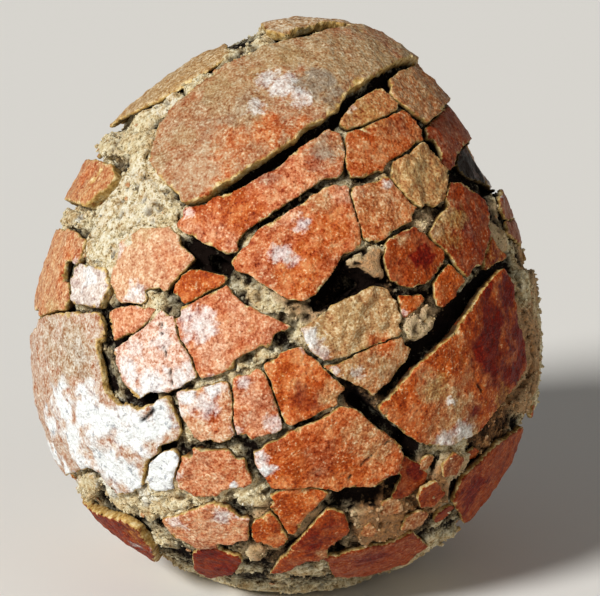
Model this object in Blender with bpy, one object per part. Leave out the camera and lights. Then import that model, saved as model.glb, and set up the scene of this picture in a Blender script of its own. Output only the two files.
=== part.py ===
"""Fossil dinosaur egg: a broken eggshell, still in place round the sediment that filled it.

The egg stands on its blunt end, on a small flat spot, and leans a little to the right.
Every shell plate is a curved slab cut from one ovoid. The sediment inside is one solid, with the
ledges and lumps that fill the gaps between plates and the troughs of the open cracks.
All sizes below are in millimetres. The front is -Y, right is +X and up is +Z.
"""

import math

import bmesh
import bpy
from mathutils import Matrix, Vector, noise

MM = 0.001

# The ovoid of the unbroken shell's outer face.
HALF_LENGTH = 101.0
HALF_WIDTH = 87.6
HALF_DEPTH = 85.0
TAPER = 0.18  # how much slimmer the upper end is than the blunt lower one
LEAN_DEG = 6.5
FLAT_SPOT_CUT = 5.0  # height lost at the blunt end, where the egg rests

# Shell and sediment.
SHELL = 3.0  # thickness of a plate that lies level with the ovoid
BED_GAP = 0.9  # clearance between a plate and the sediment under it
SEDIMENT_DEPTH = SHELL + BED_GAP
ROOT_DEPTH = SEDIMENT_DEPTH + 3.0  # how deep a ledge is rooted in the sediment
TROUGH_DEPTH = 12.0
TROUGH_TOP = 8.0
LUMP_HEIGHT = 1.3
LUMP_SPACING = 11.0
BASE_RADIUS = 45.0
BASE_WAVE = 0.05  # how far the base's rim waves in and out, as a share of its radius
BASE_CORNERS = 12
GRID = 14.0  # spacing of the cuts that let a slab follow the curve
SNAP = 0.3  # a cut passes through a corner that lies this close to it
CORE_SUBDIVISIONS = 4
HALVINGS = 40  # steps of each search for the surface

# Plate outlines are read on a sheet through the egg's centre, as seen from an eye in front of it.
EYE_DISTANCE = 900.0
EYE_ELEVATION_DEG = 18.0
SHEET_LIMIT = 0.93  # share of the outline's radius up to which the line of sight is followed
WRAP_DEG = 308.0  # turn round the egg for each whole radius past that limit

BACK_CRACK = 0.8  # half the width of a crack on the hidden side
LONG_SIDE_DEG = 15.0  # a hidden plate's side longer than this is bent twice
BEND_DEG = 6.0
BEND_SPACING_DEG = 13.0
PAD_INSET = 2.0

elevation = math.radians(EYE_ELEVATION_DEG)
TO_EYE = Vector((0.0, -math.cos(elevation), math.sin(elevation)))
SHEET_RIGHT = Vector((1.0, 0.0, 0.0))
SHEET_UP = Vector((0.0, math.sin(elevation), math.cos(elevation)))
EGG_TURN = Matrix.Rotation(math.radians(LEAN_DEG), 3, "Y")
EGG_TURN_BACK = EGG_TURN.transposed()


def turn(beta, phi):
    """A point on the far side of the edge: beta degrees round the sheet, phi degrees from the eye."""
    return ("turn", beta, phi)


def far(x, y):
    """A point on the hidden side, in degrees right and up of the point opposite the eye."""
    return ("turn", math.degrees(math.atan2(y, x)), 180.0 - math.hypot(x, y))


# Front plates: outline in millimetres right and up of the egg's centre, as seen from the eye.
# lift is how far the plate stands above the ovoid, tip how much more it rises per 10 mm to the
# right and upwards, and bed the level of its underside where the sediment under it is raised or sunk.
CROWN_PLATES = {
    "plate_crown_cap": {
        "outline": [(-8.5, 93.2), (-2, 93.4), (5, 95), (17, 95.6), (27.5, 95.8),
                    turn(72, 107), turn(84, 112), turn(97, 105)],
        "lift": 0.8,
    },
    "plate_crown_slab": {
        "outline": [(-49.5, 50), (-48.3, 57.5), (-46, 63.2), (-41, 70), (-35.5, 74.7), (-30, 79.2), (-21.5, 84.8),
                    (-9.5, 91), (-2, 92.3),
                    (5, 93.8), (17, 94.4), (28.5, 94.2), turn(69, 93), turn(63, 95), (42.5, 85.5),
                    (30, 80.6), (25, 77.4), (21.5, 76.2), (17.5, 69.5), (11.5, 64.5), (5.5, 63), (2, 58),
                    (-10, 50.8), (-21, 43.4), (-30, 38.4), (-37, 36.8), (-44, 42)],
        "lift": 1.6,
    },
    "plate_crown_ridge": {
        "outline": [(-61.5, 61), (-53, 65), (-47.2, 69), (-41.5, 73.8), (-36, 77.6), (-30, 82), (-22, 87.4),
                    turn(104, 94), turn(112, 104), turn(122, 106), turn(131, 99)],
        "lift": 0.4, "tip": (-0.9, 0.0), "bed": -1.1,
    },
}
UPPER_PLATES = {
    "plate_band_upper": {
        "outline": [(-38.3, 29), (-36.5, 32.8), (-27.5, 36.2), (-16.5, 41.2), (-5, 47.4), (2, 53.4), (8, 58),
                    (14, 61.6), (17, 59), (18.8, 55), (19, 49), (15, 45.8), (9.5, 42.2), (-6, 32.2),
                    (-14, 26.8), (-18.2, 22), (-19.2, 19), (-22.5, 17.8), (-27, 20.2), (-33, 23)],
        "lift": -0.3,
    },
    "plate_brow_left": {
        "outline": [(17.2, 62.8), (17.8, 65), (22, 70), (26.5, 73.8), (32.5, 76.2), (34.6, 73), (38, 69),
                    (33, 66.4), (26, 63.2), (20.2, 61.4)],
        "lift": -0.2,
    },
    "plate_brow_middle": {
        "outline": [(20.3, 59.6), (26, 61.8), (33, 65.2), (39.3, 67.8), (47, 60.6), (42, 56), (37, 51.2),
                    (32, 47.8), (27, 44.7), (21.5, 44), (20.8, 50)],
        "lift": -0.2,
    },
    "plate_brow_right": {
        "outline": [(35, 79), (40, 80.6), (45.2, 81.8), turn(60, 92), turn(54, 94), (55, 71), (52, 67.6),
                    (48.6, 65), (44, 68), (40, 71), (36.4, 75)],
        "lift": -0.4,
    },
    "plate_brow_edge": {
        "outline": [(48.8, 61.6), (52.5, 65.8), (55.5, 69), turn(49, 94), turn(43, 93), (58.5, 52.5),
                    (56.3, 46.5), (54.6, 50), (52, 55.5), (49.6, 58.6)],
        "lift": -2.8, "bed": -5.4,
    },
    "plate_temple_rough": {
        "outline": [(36.2, 46.5), (36.6, 49.6), (41, 52), (46, 54.9), (50.5, 53.8), (53.4, 50), (55.2, 45),
                    (55.6, 40.5), (52.5, 37.2), (46, 34.8), (43, 36.4), (39.6, 40.4)],
        "lift": 0.4,
    },
    "plate_temple_smooth": {
        "outline": [(50.2, 27), (55.8, 35.6), (57.2, 42.6), (61, 42.4), (68.5, 36.8), (70.4, 31), (69.6, 25),
                    (66.4, 15.5), (64, 11.4), (61.5, 10.9), (57.3, 16.2), (53.8, 21), (50.3, 24.2)],
        "lift": 0.3,
    },
    "plate_temple_shadow": {
        "outline": [(59.6, 53.5), (59.2, 49), (61, 45.6), (67, 41.8), (71, 41.6), turn(29, 95), turn(36, 99),
                    turn(42, 94)],
        "lift": -3.4, "bed": -6.0,
    },
}
CENTRE_PLATES = {
    "plate_centre_large": {
        "outline": [(-20.3, 14.5), (-14.5, 20.8), (-12.3, 25.6), (-6, 29.3), (1, 32.7), (6, 36.6), (12, 40.7),
                    (16, 41.8), (19.4, 40.8), (20.8, 37), (23.8, 28), (24.6, 22), (22.3, 18.7), (18.8, 17.4),
                    (14.3, 9.8), (9, 3.8), (5, 1), (0, 1.4), (-6, 4.7), (-14, 10), (-19.3, 12.2)],
        "lift": 1.2,
    },
    "plate_centre_right": {
        "outline": [(21.9, 38.8), (28, 40.9), (34.4, 43.2), (38.6, 38.9), (43.9, 34), (43, 31.7), (38, 29),
                    (33, 24.8), (28, 22), (25.8, 26.8), (23.5, 32)],
        "lift": 0.4,
    },
    "plate_centre_dark": {
        "outline": [(33.2, 17), (35.7, 22), (41, 25.6), (45.3, 25.2), (50, 20.9), (54, 16.8), (54, 14.2),
                    (49.2, 8.3), (46.5, 7.4), (36, 8.4), (33.8, 12)],
        "lift": 0.2,
    },
    "plate_centre_wedge": {
        "outline": [(50.8, 7.2), (55.2, 12.6), (57.6, 11.9), (60.9, 8), (58, 2.4), (54, -1.4), (51.8, -0.1),
                    (50.8, 3)],
        "lift": -0.3,
    },
    "plate_centre_chip": {
        "outline": [(38.2, 2.6), (46.3, 3.6), (48, 1.9), (44.7, -1.8), (42, -4), (39.8, -3.8)],
        "lift": -0.4,
    },
    "plate_centre_rough": {
        "outline": [(4, -9), (10, -4.7), (15, -0.7), (21.5, 3.2), (30, 6.2), (34, 5.4), (36.4, 2),
                    (38.2, -5), (38, -9.2), (33, -12.2), (25, -15.2), (17, -18.8), (12, -19.6), (8, -16.3)],
        "lift": 0.2,
    },
    "plate_centre_ledge": {
        "outline": [(12, -22), (16, -21.5), (22, -19.2), (30, -15.8), (38.5, -13.3), (43, -15.7), (39.6, -21.5),
                    (34, -28.4), (29, -32.2), (25, -29), (18, -25.8)],
        "lift": -0.5,
    },
}
RIGHT_PLATES = {
    "plate_right_slab": {
        "outline": [(31, -37), (35, -33.6), (44, -22.6), (51, -17), (58.5, -9), (66, 2.2), (72.3, 10.2),
                    (75.4, 12.6), (78.3, 7), (79.8, -3), (82.3, -14), (82.4, -21.5), (79, -29.2), (72.4, -38.5),
                    (65.6, -45.8), (58, -49.4), (50, -49.8), (43, -47.4), (37, -42)],
        "lift": 0.8,
    },
    "plate_right_upper": {
        "outline": [(72.4, 37), (72.8, 33), (75.6, 30.2), (78, 31), turn(21, 96), turn(27, 98)],
        "lift": -0.8,
    },
    "plate_right_middle": {
        "outline": [(75.3, 25.5), (76.8, 28.4), (79, 29.4), turn(19, 97), turn(14, 99), (81.2, 20.6),
                    (79, 20.8)],
        "lift": -0.8,
    },
    "plate_right_chip": {
        "outline": [(71.6, 21.5), (76.4, 16.6), (75.2, 15.3), (68.9, 12.6), (70.2, 17)],
        "lift": -0.4,
    },
    "plate_right_foot": {
        "outline": [(60.5, -61), (66, -56), (74, -47.6), (79.6, -42.4), turn(-28, 96), turn(-40, 103),
                    turn(-49, 97), (64, -76.5), (59.6, -75), (57.4, -69.5)],
        "lift": -0.4,
    },
}
LEFT_PLATES = {
    "plate_left_shoulder": {
        "outline": [(-62.8, 49.3), (-61.6, 45), (-64, 41), (-72, 34.4), (-77.5, 36), turn(155, 95),
                    turn(145, 97), (-69.5, 50)],
        "lift": 2.2,
    },
    "plate_left_rim": {
        "outline": [(-78.5, 25.8), (-75, 25.4), (-72.2, 22.5), (-73.8, 16.4), (-79, 15), (-80.4, 10), (-78, 4),
                    (-79.4, 0.3), (-85.5, -2), turn(181, 102), turn(172, 107), turn(163, 100)],
        "lift": 0.2,
    },
    "plate_left_block": {
        "outline": [(-77, 8), (-75, 12.2), (-70, 13.6), (-65.8, 12.8), (-65, 6), (-65.6, 1.4), (-71, 0),
                    (-76.4, 1.4)],
        "lift": 0.4,
    },
    "plate_left_field": {
        "outline": [(-60, 21.5), (-53, 26.6), (-43.3, 27), (-39.3, 22), (-33.4, 16), (-37, 12.4),
                    (-41.8, 8.9), (-45, 6), (-51, 5.4), (-52.2, 2), (-59.2, 1), (-61.6, 4.2), (-61.6, 13)],
        "lift": 0.2,
    },
    "plate_left_chip": {
        "outline": [(-39.8, 6), (-37.6, 10.4), (-32, 11.9), (-22.4, 9.7), (-24, 7.8), (-30, 4.7),
                    (-35.3, 1.6), (-38.2, 2), (-40.4, 4)],
        "lift": -0.4,
    },
    "plate_left_wedge": {
        "outline": [(-63.8, -2.5), (-59, -1), (-47.2, -1.7), (-51.4, -6.8), (-57.5, -11), (-62.2, -13.2),
                    (-63.4, -8)],
        "lift": -0.6,
    },
    "plate_left_pale": {
        "outline": [(-61.6, -15.6), (-55, -11.8), (-50, -7.4), (-45.5, -3.2), (-42.6, -5.4), (-41, -8),
                    (-39.5, -14), (-36, -19.4), (-33.6, -25.6), (-40, -28), (-50, -31.4), (-54.3, -33.4),
                    (-59, -27), (-61, -20.5)],
        "lift": 0.0,
    },
    "plate_left_rosy": {
        "outline": [(-38.8, -5.2), (-35, -0.7), (-30, 2.4), (-22.3, 5.2), (-17, 1), (-10, -3.3), (-4, -5.8),
                    (-1.4, -7.6), (-7, -12.5), (-15, -17.3), (-23, -21.3), (-31.3, -24.6), (-32.2, -21),
                    (-34.8, -17), (-37.8, -12)],
        "lift": 0.3,
    },
    "plate_left_slab": {
        "outline": [(-85, -6.4), (-75, -4.6), (-68.5, -4.8), (-67.4, -7), (-67.6, -16.5), (-66.2, -24),
                    (-65, -30), (-61, -35), (-56.5, -37.6), (-52, -36.2), (-46, -34.4), (-43.8, -34.4),
                    (-42, -38), (-39.9, -45), (-40, -47.6), (-45, -49.6), (-50.6, -53.8), (-52.4, -58),
                    (-52, -63), (-55, -66), (-60, -67), (-64.5, -63.6), (-67, -59.6), (-71, -57.4),
                    (-76, -58.6), turn(-143, 95), turn(-158, 102), turn(-172, 99)],
        "lift": 0.0,
    },
}
LOWER_PLATES = {
    "plate_row_left": {
        "outline": [(-39.6, -32.4), (-34, -30.6), (-22.2, -27.6), (-21.3, -33), (-21.4, -45.6), (-26.5, -46.8),
                    (-31, -48.4), (-33.6, -47.4), (-36, -43.6), (-38.4, -38.5)],
        "lift": 0.0,
    },
    "plate_row_middle": {
        "outline": [(-19.3, -26.4), (-11.2, -23.8), (-8.8, -27), (-6.9, -33), (-4, -40), (-3.4, -43.6),
                    (-7, -45.2), (-12, -46.4), (-17, -45.4), (-19, -43), (-19, -35)],
        "lift": -0.2,
    },
    "plate_row_right": {
        "outline": [(-8.7, -21.5), (-5, -18.9), (0, -15.7), (4, -17.3), (9, -20.4), (13, -25), (19.8, -29.6),
                    (15.3, -33.6), (8, -39), (1, -42.4), (-1.2, -41), (-4.1, -33), (-6, -28)],
        "lift": 0.3,
    },
    "plate_lower_large": {
        "outline": [(-13.2, -52.6), (-5, -50.2), (4, -46.4), (12, -42.5), (21.5, -36.6), (23.8, -37.4),
                    (29, -42.3), (35, -46.6), (39.4, -50.2), (36.6, -58), (33.2, -62.2), (28, -64.7),
                    (18, -64.7), (15, -63.4), (-1, -63.4), (-5.8, -65.3), (-10, -60), (-12.2, -55.5)],
        "lift": 0.6,
    },
    "plate_lower_right": {
        "outline": [(41.2, -54.2), (45, -55.6), (48.4, -60), (47, -63.8), (40, -68.4), (36, -69.4),
                    (36.8, -66), (39.6, -60.5)],
        "lift": -0.9,
    },
    "plate_lower_white": {
        "outline": [(-48.8, -56.8), (-45, -54), (-41, -52.2), (-40.2, -57), (-41.5, -60), (-41, -64.6),
                    (-45, -66), (-48.6, -64.6), (-49.4, -61)],
        "lift": -0.4,
    },
    "plate_lower_left": {
        "outline": [(-39.2, -59), (-35.8, -54.4), (-32, -51.5), (-21.7, -51.3), (-18.8, -55.2), (-14, -60.2),
                    (-13.4, -62.8), (-15.3, -64.5), (-22, -65), (-30, -67.8), (-35, -66.6), (-38.8, -64.4)],
        "lift": 0.0,
    },
}
FOOT_PLATES = {
    "plate_foot_upper": {
        "outline": [(-6, -68.8), (-1.8, -66.8), (5, -66.2), (13.9, -66.3), (9.2, -71.7), (2.8, -77),
                    (-0.8, -80.2), (-3, -76), (-4.6, -72)],
        "lift": -0.2,
    },
    "plate_foot_small": {
        "outline": [(-12.4, -77.2), (-8, -74.4), (-5, -76.4), (-2.3, -81.5), (-5.4, -85), (-9.8, -84.4),
                    (-12.3, -82)],
        "lift": -0.2,
    },
    "plate_foot_left": {
        "outline": [(-45.6, -75.9), (-37, -73.4), (-27, -70.6), (-22, -71.6), (-15.9, -76.4), (-15.4, -82),
                    (-20, -84.6), (-35, -84.6), (-40.6, -81.8), (-43.6, -79)],
        "lift": 0.2,
    },
    "plate_foot_dark": {
        "outline": [(-34.5, -87.2), (-28, -87.2), (-18, -88.2), (-16.5, -90.5), (-20, -93.5), (-28, -94),
                    (-33, -91)],
        "lift": -0.6,
    },
    "plate_foot_edge": {
        "outline": [(-70.4, -70.2), (-66, -71.6), (-59, -75), (-53, -79), (-47.4, -84.6), (-46.4, -87),
                    turn(-117, 94), turn(-123, 96), turn(-130, 97), turn(-137, 94)],
        "lift": 0.8,
    },
    "plate_foot_long": {
        "outline": [(13.6, -72.4), (19, -73.8), (21.4, -80), (14.6, -85.4), (8, -90), (0, -93.5), (-7, -94.3),
                    (-4.4, -91.2), (1.4, -84.8), (7.2, -78.6)],
        "lift": -0.2,
    },
    "plate_foot_right": {
        "outline": [(13, -90), (22, -86.6), (33, -84.8), (43.5, -80.3), (47.4, -83.2), (40, -89), (28, -93),
                    (15, -94.4)],
        "lift": -0.6,
    },
}

# Hidden side: outlines in degrees from the point opposite the eye. Neighbours share their corners,
# and each is drawn in by half a crack. The long cracks slope as they do on the front.
BACK_PLATES = {
    "plate_back_shoulder_left": [(-73.8, 32.9), (-65.4, 45.8), (-52.7, 58.6), (-38.6, 61.7), (-38, 38)],
    "plate_back_crown_left": [(-38.6, 61.7), (-28, 69.4), (-18.4, 79.9), (-8.9, 71), (-8, 47),
                              (-24, 42), (-38, 38)],
    "plate_back_crown_right": [(-8.9, 71), (7, 64), (21.9, 66), (33.8, 77), (44.9, 70.5), (24, 52),
                               (14, 50), (-8, 47)],
    "plate_back_flank_left": [(-74.6, -2.6), (-70.1, 9.9), (-74, 24), (-73.8, 32.9), (-38, 38), (-24, 42),
                              (-30, 9), (-50, 3.5)],
    "plate_back_middle": [(-24, 42), (-8, 47), (14, 50), (20, 23.5), (-6, 16.5), (-30, 9)],
    "plate_back_shoulder_right": [(14, 50), (24, 52), (44.9, 70.5), (60, 56.5), (63.5, 46.3), (71.5, 38),
                                  (44, 30), (20, 23.5)],
    "plate_back_belly_left": [(-65.9, -47.9), (-70.3, -28.4), (-78.2, -11), (-74.6, -2.6), (-50, 3.5),
                              (-44, -29)],
    "plate_back_belly_middle": [(-50, 3.5), (-30, 9), (-6, 16.5), (0, -15), (-24, -22), (-44, -29)],
    "plate_back_belly_right": [(-6, 16.5), (20, 23.5), (44, 30), (46, -4), (18, -10), (0, -15)],
    "plate_back_edge_right": [(44, 30), (71.5, 38), (76, 27.9), (77, 17.9), (86, -1), (46, -4)],
    "plate_back_foot_left": [(-48.5, -61.2), (-60.9, -54.9), (-65.9, -47.9), (-44, -29), (-24, -22),
                             (-28, -49), (-38, -60), (-44, -67)],
    "plate_back_foot_middle": [(-24, -22), (0, -15), (18, -10), (26, -46), (13.5, -42), (0, -40),
                               (-12, -42), (-28, -49)],
    "plate_back_foot_right": [(18, -10), (46, -4), (86, -1), (83, -20), (70.8, -36.1), (57, -47.5),
                              (50.5, -60.5), (40, -58), (26, -46)],
}

# Sediment that stands up to the level of the shell between plates, fused with the filling.
SEDIMENT_LEDGES = {
    "left_field": {
        "outline": [(-57, 59), (-50, 61.5), (-47.5, 58), (-51.5, 51), (-50.5, 45.5), (-44.5, 39), (-39.5, 35),
                    (-40, 30.5), (-44, 28.6), (-54, 28), (-60.5, 23.5), (-66, 25), (-69.5, 28.5), (-66, 35),
                    (-59.5, 39.5), (-56.5, 45), (-57, 52)],
        "lift": 0.2,
    },
    "left_knob": {
        "outline": [(-66.5, 59), (-62, 60), (-60, 57), (-60.2, 52.5), (-65.5, 51.6), (-67.5, 55)],
        "lift": 2.0,
    },
    "left_edge": {
        "outline": [(-78.6, 33.4), (-75, 32.6), (-72, 30), (-75, 27), (-79.5, 27.8)],
        "lift": 0.6,
    },
    "left_notch": {
        "outline": [(-70.8, 23.4), (-65, 23.6), (-62.6, 20.8), (-63.4, 14.6), (-70.5, 15), (-72.2, 17.4)],
        "lift": -0.4,
    },
    "below_slab": {
        "outline": [(-55, -68.6), (-50, -67.8), (-44, -68), (-36, -68.6), (-31, -69.6), (-37, -72),
                    (-46, -74.4), (-49, -77), (-52.5, -74)],
        "lift": -0.6,
    },
    "left_heel": {
        "outline": [(-73.5, -60.5), (-70.5, -59.6), (-67.6, -63.5), (-68, -66.5), (-70.5, -67.6), (-73, -64.5)],
        "lift": -0.4,
    },
    "centre_bridge": {
        "outline": [(20, 15.6), (25, 18), (28, 20.4), (32.6, 20.6), (31.8, 16), (32.2, 11.4), (33.4, 8.8),
                    (30.5, 8.6), (27.5, 11.4), (19.4, 13.4)],
        "lift": -0.4,
    },
    "centre_knob": {
        "outline": [(40.8, -6), (45, -2.9), (49, -0.2), (51.2, -2), (52, -6), (50, -9.2), (46.5, -11.9),
                    (42.8, -12.4), (40.7, -10)],
        "lift": 0.4,
    },
    "temple_bridge": {
        "outline": [(44.8, 30.6), (47, 29.6), (49.4, 27.8), (49.2, 25.2), (46.4, 26.4), (42.6, 27.6),
                    (43, 29.8)],
        "lift": -0.2,
    },
    "right_rim": {
        "outline": [(80.6, 12), (81, 0), (84, -12), (84, -22), (80.6, -30.4), (77, -36), (82, -38),
                    turn(-23, 89), turn(-8, 90), turn(8, 90)],
        "lift": 0.8,
    },
    "right_heel": {
        "outline": [(53.5, -52.4), (60, -51.4), (63, -53), (60.5, -58), (56.5, -64), (55, -70), (48.5, -69.6),
                    (48.8, -64.6), (50.5, -60), (51.8, -56.6)],
        "lift": -0.4,
    },
    "right_sole": {
        "outline": [(22, -73.8), (30, -71), (36, -71.4), (42, -70.6), (46, -74), (44, -78.6), (34, -83),
                    (25, -84.4), (23.2, -80)],
        "lift": -0.8,
    },
    "foot_knob": {
        "outline": [(-14.6, -85.8), (-9.8, -86), (-8.6, -89.5), (-13, -91), (-15.2, -89)],
        "lift": 0.2,
    },
    "right_toe": {
        "outline": [turn(-54, 86), turn(-53, 97), turn(-58, 105), turn(-66, 104), turn(-72, 92), turn(-66, 86)],
        "lift": -0.6,
    },
    "left_toe": {
        "outline": [turn(-113, 88), turn(-108, 91), turn(-104, 95), turn(-108, 104), turn(-116, 103),
                    turn(-119, 97), turn(-115, 93)],
        "lift": -0.6,
    },
    "centre_lip": {
        "outline": [(-17.5, 8.2), (-8, 2.4), (-0.6, -0.6), (0, -2.6), (-4, -3.2), (-12, 1), (-17, 5.6)],
        "lift": -1.6,
    },
    "row_lip": {
        "outline": [(-20, -23.6), (-8, -17.6), (-4, -15.4), (-5, -17.6), (-9.8, -20.2), (-20.6, -25.2)],
        "lift": -1.2,
    },
}

# Places where the filling itself has sunk, with the plates on it.
SUNKEN_BEDS = {
    "temple_bed": {
        "outline": [(47.5, 61.5), (50, 57), (53, 50), (56, 43.5), (60, 42.5), (67, 39.2), (73, 39.4),
                    turn(27, 101), turn(43, 103), turn(53, 99), (58, 71.5), (53, 67)],
        "depth": 7.2,
    },
}

# Cracks that stand open down into the filling.
OPEN_CRACKS = {
    "crown_crack": [(-24, 40), (-14, 45), (-3, 50.5), (5, 58), (11, 62.5), (17, 66.5), (25.5, 76), (36, 82),
                    (44, 84.5), (44.5, 83), (36, 79.8), (29, 76), (20, 67.5), (15, 61.5), (9, 59), (0, 52),
                    (-12, 44), (-22, 39)],
    "right_crack": [(29, -34), (37, -27.5), (48, -16), (57, -6), (64, 4), (72, 12.5), (75.5, 14.4),
                    (73.5, 12), (66.5, 3.2), (59, -8), (50, -17.5), (43, -23), (36, -31.5)],
    "lower_crack": [(21.5, -31.5), (30, -36), (37, -42.5), (47, -50.5), (53, -53), (51, -58), (48.5, -63),
                    (46, -55.5), (40, -52), (31, -44), (22, -36)],
    "cavity": [(7, 1.5), (12, 6.5), (16.5, 13), (20, 13), (27, 10.5), (30, 8), (24, 5.6), (14, -0.6),
               (10, -3.4)],
    "left_hole": [(-34.5, 21), (-27.5, 19.4), (-23.2, 16.4), (-25, 12.5), (-31.6, 12.9), (-33.5, 14)],
    "left_crack": [(-65.8, -5), (-63.2, -14), (-60.8, -22), (-55.5, -32), (-53.4, -35.2), (-57.5, -36.6),
                   (-63.4, -28.6), (-66.2, -16)],
    "foot_crack": [(16.5, -65.8), (31.5, -65.8), (34.5, -69.4), (20, -72.2), (14, -71.8), (5, -80.5),
                   (-4.6, -90), (-6, -88.5), (2, -79.6), (11, -71.2), (15, -67.4)],
}

COLOURS = {
    "shell": ((0.56, 0.22, 0.11, 1.0), 0.62),
    "sediment": ((0.62, 0.50, 0.33, 1.0), 0.92),
}


def ovoid(point, lift):
    """Below zero inside the ovoid grown by lift, above zero outside; point is from the egg's centre."""
    p = EGG_TURN_BACK @ point
    along = p.z / (HALF_LENGTH + lift)
    across = (p.x / (HALF_WIDTH + lift)) ** 2 + (p.y / (HALF_DEPTH + lift)) ** 2
    slimming = max(0.05, 1.0 - TAPER * along)
    return across / slimming**2 + along**2 - 1.0


def normal_at(point, lift):
    """Outward unit normal of the grown ovoid near a point on it."""
    step = 0.05
    axes = (Vector((step, 0, 0)), Vector((0, step, 0)), Vector((0, 0, step)))
    slope = Vector([ovoid(point + a, lift) - ovoid(point - a, lift) for a in axes])
    return slope.normalized()


def crossing(outside, inside, lift):
    """The point of the grown ovoid on the line between a point outside it and one inside it."""
    for _ in range(HALVINGS):
        middle = (outside + inside) / 2
        if ovoid(middle, lift) > 0:
            outside = middle
        else:
            inside = middle
    return inside


def on_ray(direction, lift):
    """The point of the grown ovoid in that direction from its centre."""
    return crossing(direction.normalized() * 2 * HALF_LENGTH, Vector((0, 0, 0)), lift)


def seen(sheet_point, lift):
    """The point of the grown ovoid that the eye sees at that place of the sheet, or None."""
    eye = TO_EYE * EYE_DISTANCE
    sight = (sheet_point - eye).normalized()
    nearest = eye - sight * eye.dot(sight)
    if ovoid(nearest, lift) >= 0:
        return None
    return crossing(eye, nearest, lift)


def edge_radius(across, lift):
    """How far from its middle the egg reaches on the sheet, in the direction across."""
    inside, outside = 0.0, 2 * HALF_LENGTH
    for _ in range(HALVINGS):
        middle = (inside + outside) / 2
        if seen(across * middle, lift) is None:
            outside = middle
        else:
            inside = middle
    return inside


def surface_point(place, lift):
    """The point of the grown ovoid for an outline's corner: (right, up) on the sheet, or a turn."""
    if place[0] == "turn":
        beta, phi = math.radians(place[1]), math.radians(place[2])
        across = SHEET_RIGHT * math.cos(beta) + SHEET_UP * math.sin(beta)
        return on_ray(TO_EYE * math.cos(phi) + across * math.sin(phi), lift)
    flat = SHEET_RIGHT * place[0] + SHEET_UP * place[1]
    across = flat.normalized()
    limit = edge_radius(across, lift)
    if flat.length <= SHEET_LIMIT * limit:
        return seen(flat, lift)
    last = seen(across * SHEET_LIMIT * limit, lift)
    past = math.radians(WRAP_DEG * (flat.length / limit - SHEET_LIMIT))
    axis = TO_EYE.cross(across)
    return on_ray(Matrix.Rotation(past, 3, axis) @ last, lift)


def drawn_in(corners, distance):
    """A flat outline with every side moved inwards by the distance."""
    turned = sum(a.x * b.y - b.x * a.y for a, b in zip(corners, corners[1:] + corners[:1]))
    inward = 1.0 if turned > 0 else -1.0
    moved = []
    for i, corner in enumerate(corners):
        before = (corner - corners[i - 1]).normalized()
        after = (corners[(i + 1) % len(corners)] - corner).normalized()
        sides = [Vector((-d.y, d.x)) * inward for d in (before, after)]
        mitre = (sides[0] + sides[1]).normalized()
        moved.append(corner + mitre * distance / max(0.4, mitre.dot(sides[0])))
    return moved


def bent_sides(corners):
    """The outline with each long side bent twice, in the same way for both plates that share it."""
    outline = []
    for i, start in enumerate(corners):
        end = corners[(i + 1) % len(corners)]
        outline.append(start)
        first, last = (Vector(corner) for corner in sorted((start, end)))
        along = last - first
        if along.length < LONG_SIDE_DEG:
            continue
        side = Vector((-along.y, along.x)).normalized()
        shares = (1 / 3, 2 / 3) if start < end else (2 / 3, 1 / 3)
        for share in shares:
            place = first + along * share
            bend = BEND_DEG * noise.noise(Vector((place.x, place.y, 0.0)) / BEND_SPACING_DEG)
            outline.append(tuple(place + side * bend))
    return outline


def cut_into_grid(bm):
    """Cuts a flat face along lines GRID apart, clear of its corners."""
    for axis in (0, 1):
        normal = Vector((1, 0, 0)) if axis == 0 else Vector((0, 1, 0))
        values = [vert.co[axis] for vert in bm.verts]
        low, high = min(values), max(values)
        count = max(1, round((high - low) / GRID))
        for k in range(1, count):
            at = normal * (low + (high - low) * k / count)
            geometry = bm.verts[:] + bm.edges[:] + bm.faces[:]
            bmesh.ops.bisect_plane(bm, geom=geometry, dist=SNAP, plane_co=at, plane_no=normal)


def slab(name, outline, top, bottom, inset=0.0, tip=(0.0, 0.0), lumps=0.0):
    """A curved slab of the ovoid: its face at the level top, its underside at the level bottom.

    A tipped slab rises by tip for every 10 mm to the right and upwards from its middle.
    """
    corners = [surface_point(place, top) for place in outline]
    middle = on_ray(sum(corners, Vector((0, 0, 0))), top)
    outward = middle.normalized()
    right = (SHEET_RIGHT - outward * SHEET_RIGHT.dot(outward)).normalized()
    up = outward.cross(right)
    flat = []
    for corner in corners:
        on_plane = corner * (middle.length / corner.dot(outward))
        flat.append(Vector((on_plane.dot(right), on_plane.dot(up))))
    if inset:
        flat = drawn_in(flat, inset)

    bm = bmesh.new()
    bm.faces.new([bm.verts.new((p.x, p.y, 0.0)) for p in flat])
    cut_into_grid(bm)
    sheet = [face for face in bm.faces]
    grown = bmesh.ops.extrude_face_region(bm, geom=sheet)["geom"]
    upper = {item for item in grown if isinstance(item, bmesh.types.BMVert)}
    for vert in bm.verts:
        ray = outward * middle.length + right * vert.co.x + up * vert.co.y
        face_point = on_ray(ray, top)
        outwards = normal_at(face_point, top)
        rise = (vert.co.x * tip[0] + vert.co.y * tip[1]) / 10
        if vert in upper:
            bump = lumps * noise.noise(face_point / LUMP_SPACING)
            vert.co = face_point + outwards * (rise + bump)
        else:
            vert.co = face_point + outwards * (rise + bottom - top)
    bm.normal_update()
    bmesh.ops.recalc_face_normals(bm, faces=bm.faces)
    return to_object(name, bm)


def to_object(name, bm):
    """Stands the shape on the floor, turns its millimetres to metres and links it."""
    bmesh.ops.translate(bm, verts=bm.verts, vec=CENTRE)
    bmesh.ops.scale(bm, verts=bm.verts, vec=(MM, MM, MM))
    mesh = bpy.data.meshes.new(name)
    bm.to_mesh(mesh)
    bm.free()
    obj = bpy.data.objects.new(name, mesh)
    part.objects.link(obj)
    return obj


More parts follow.
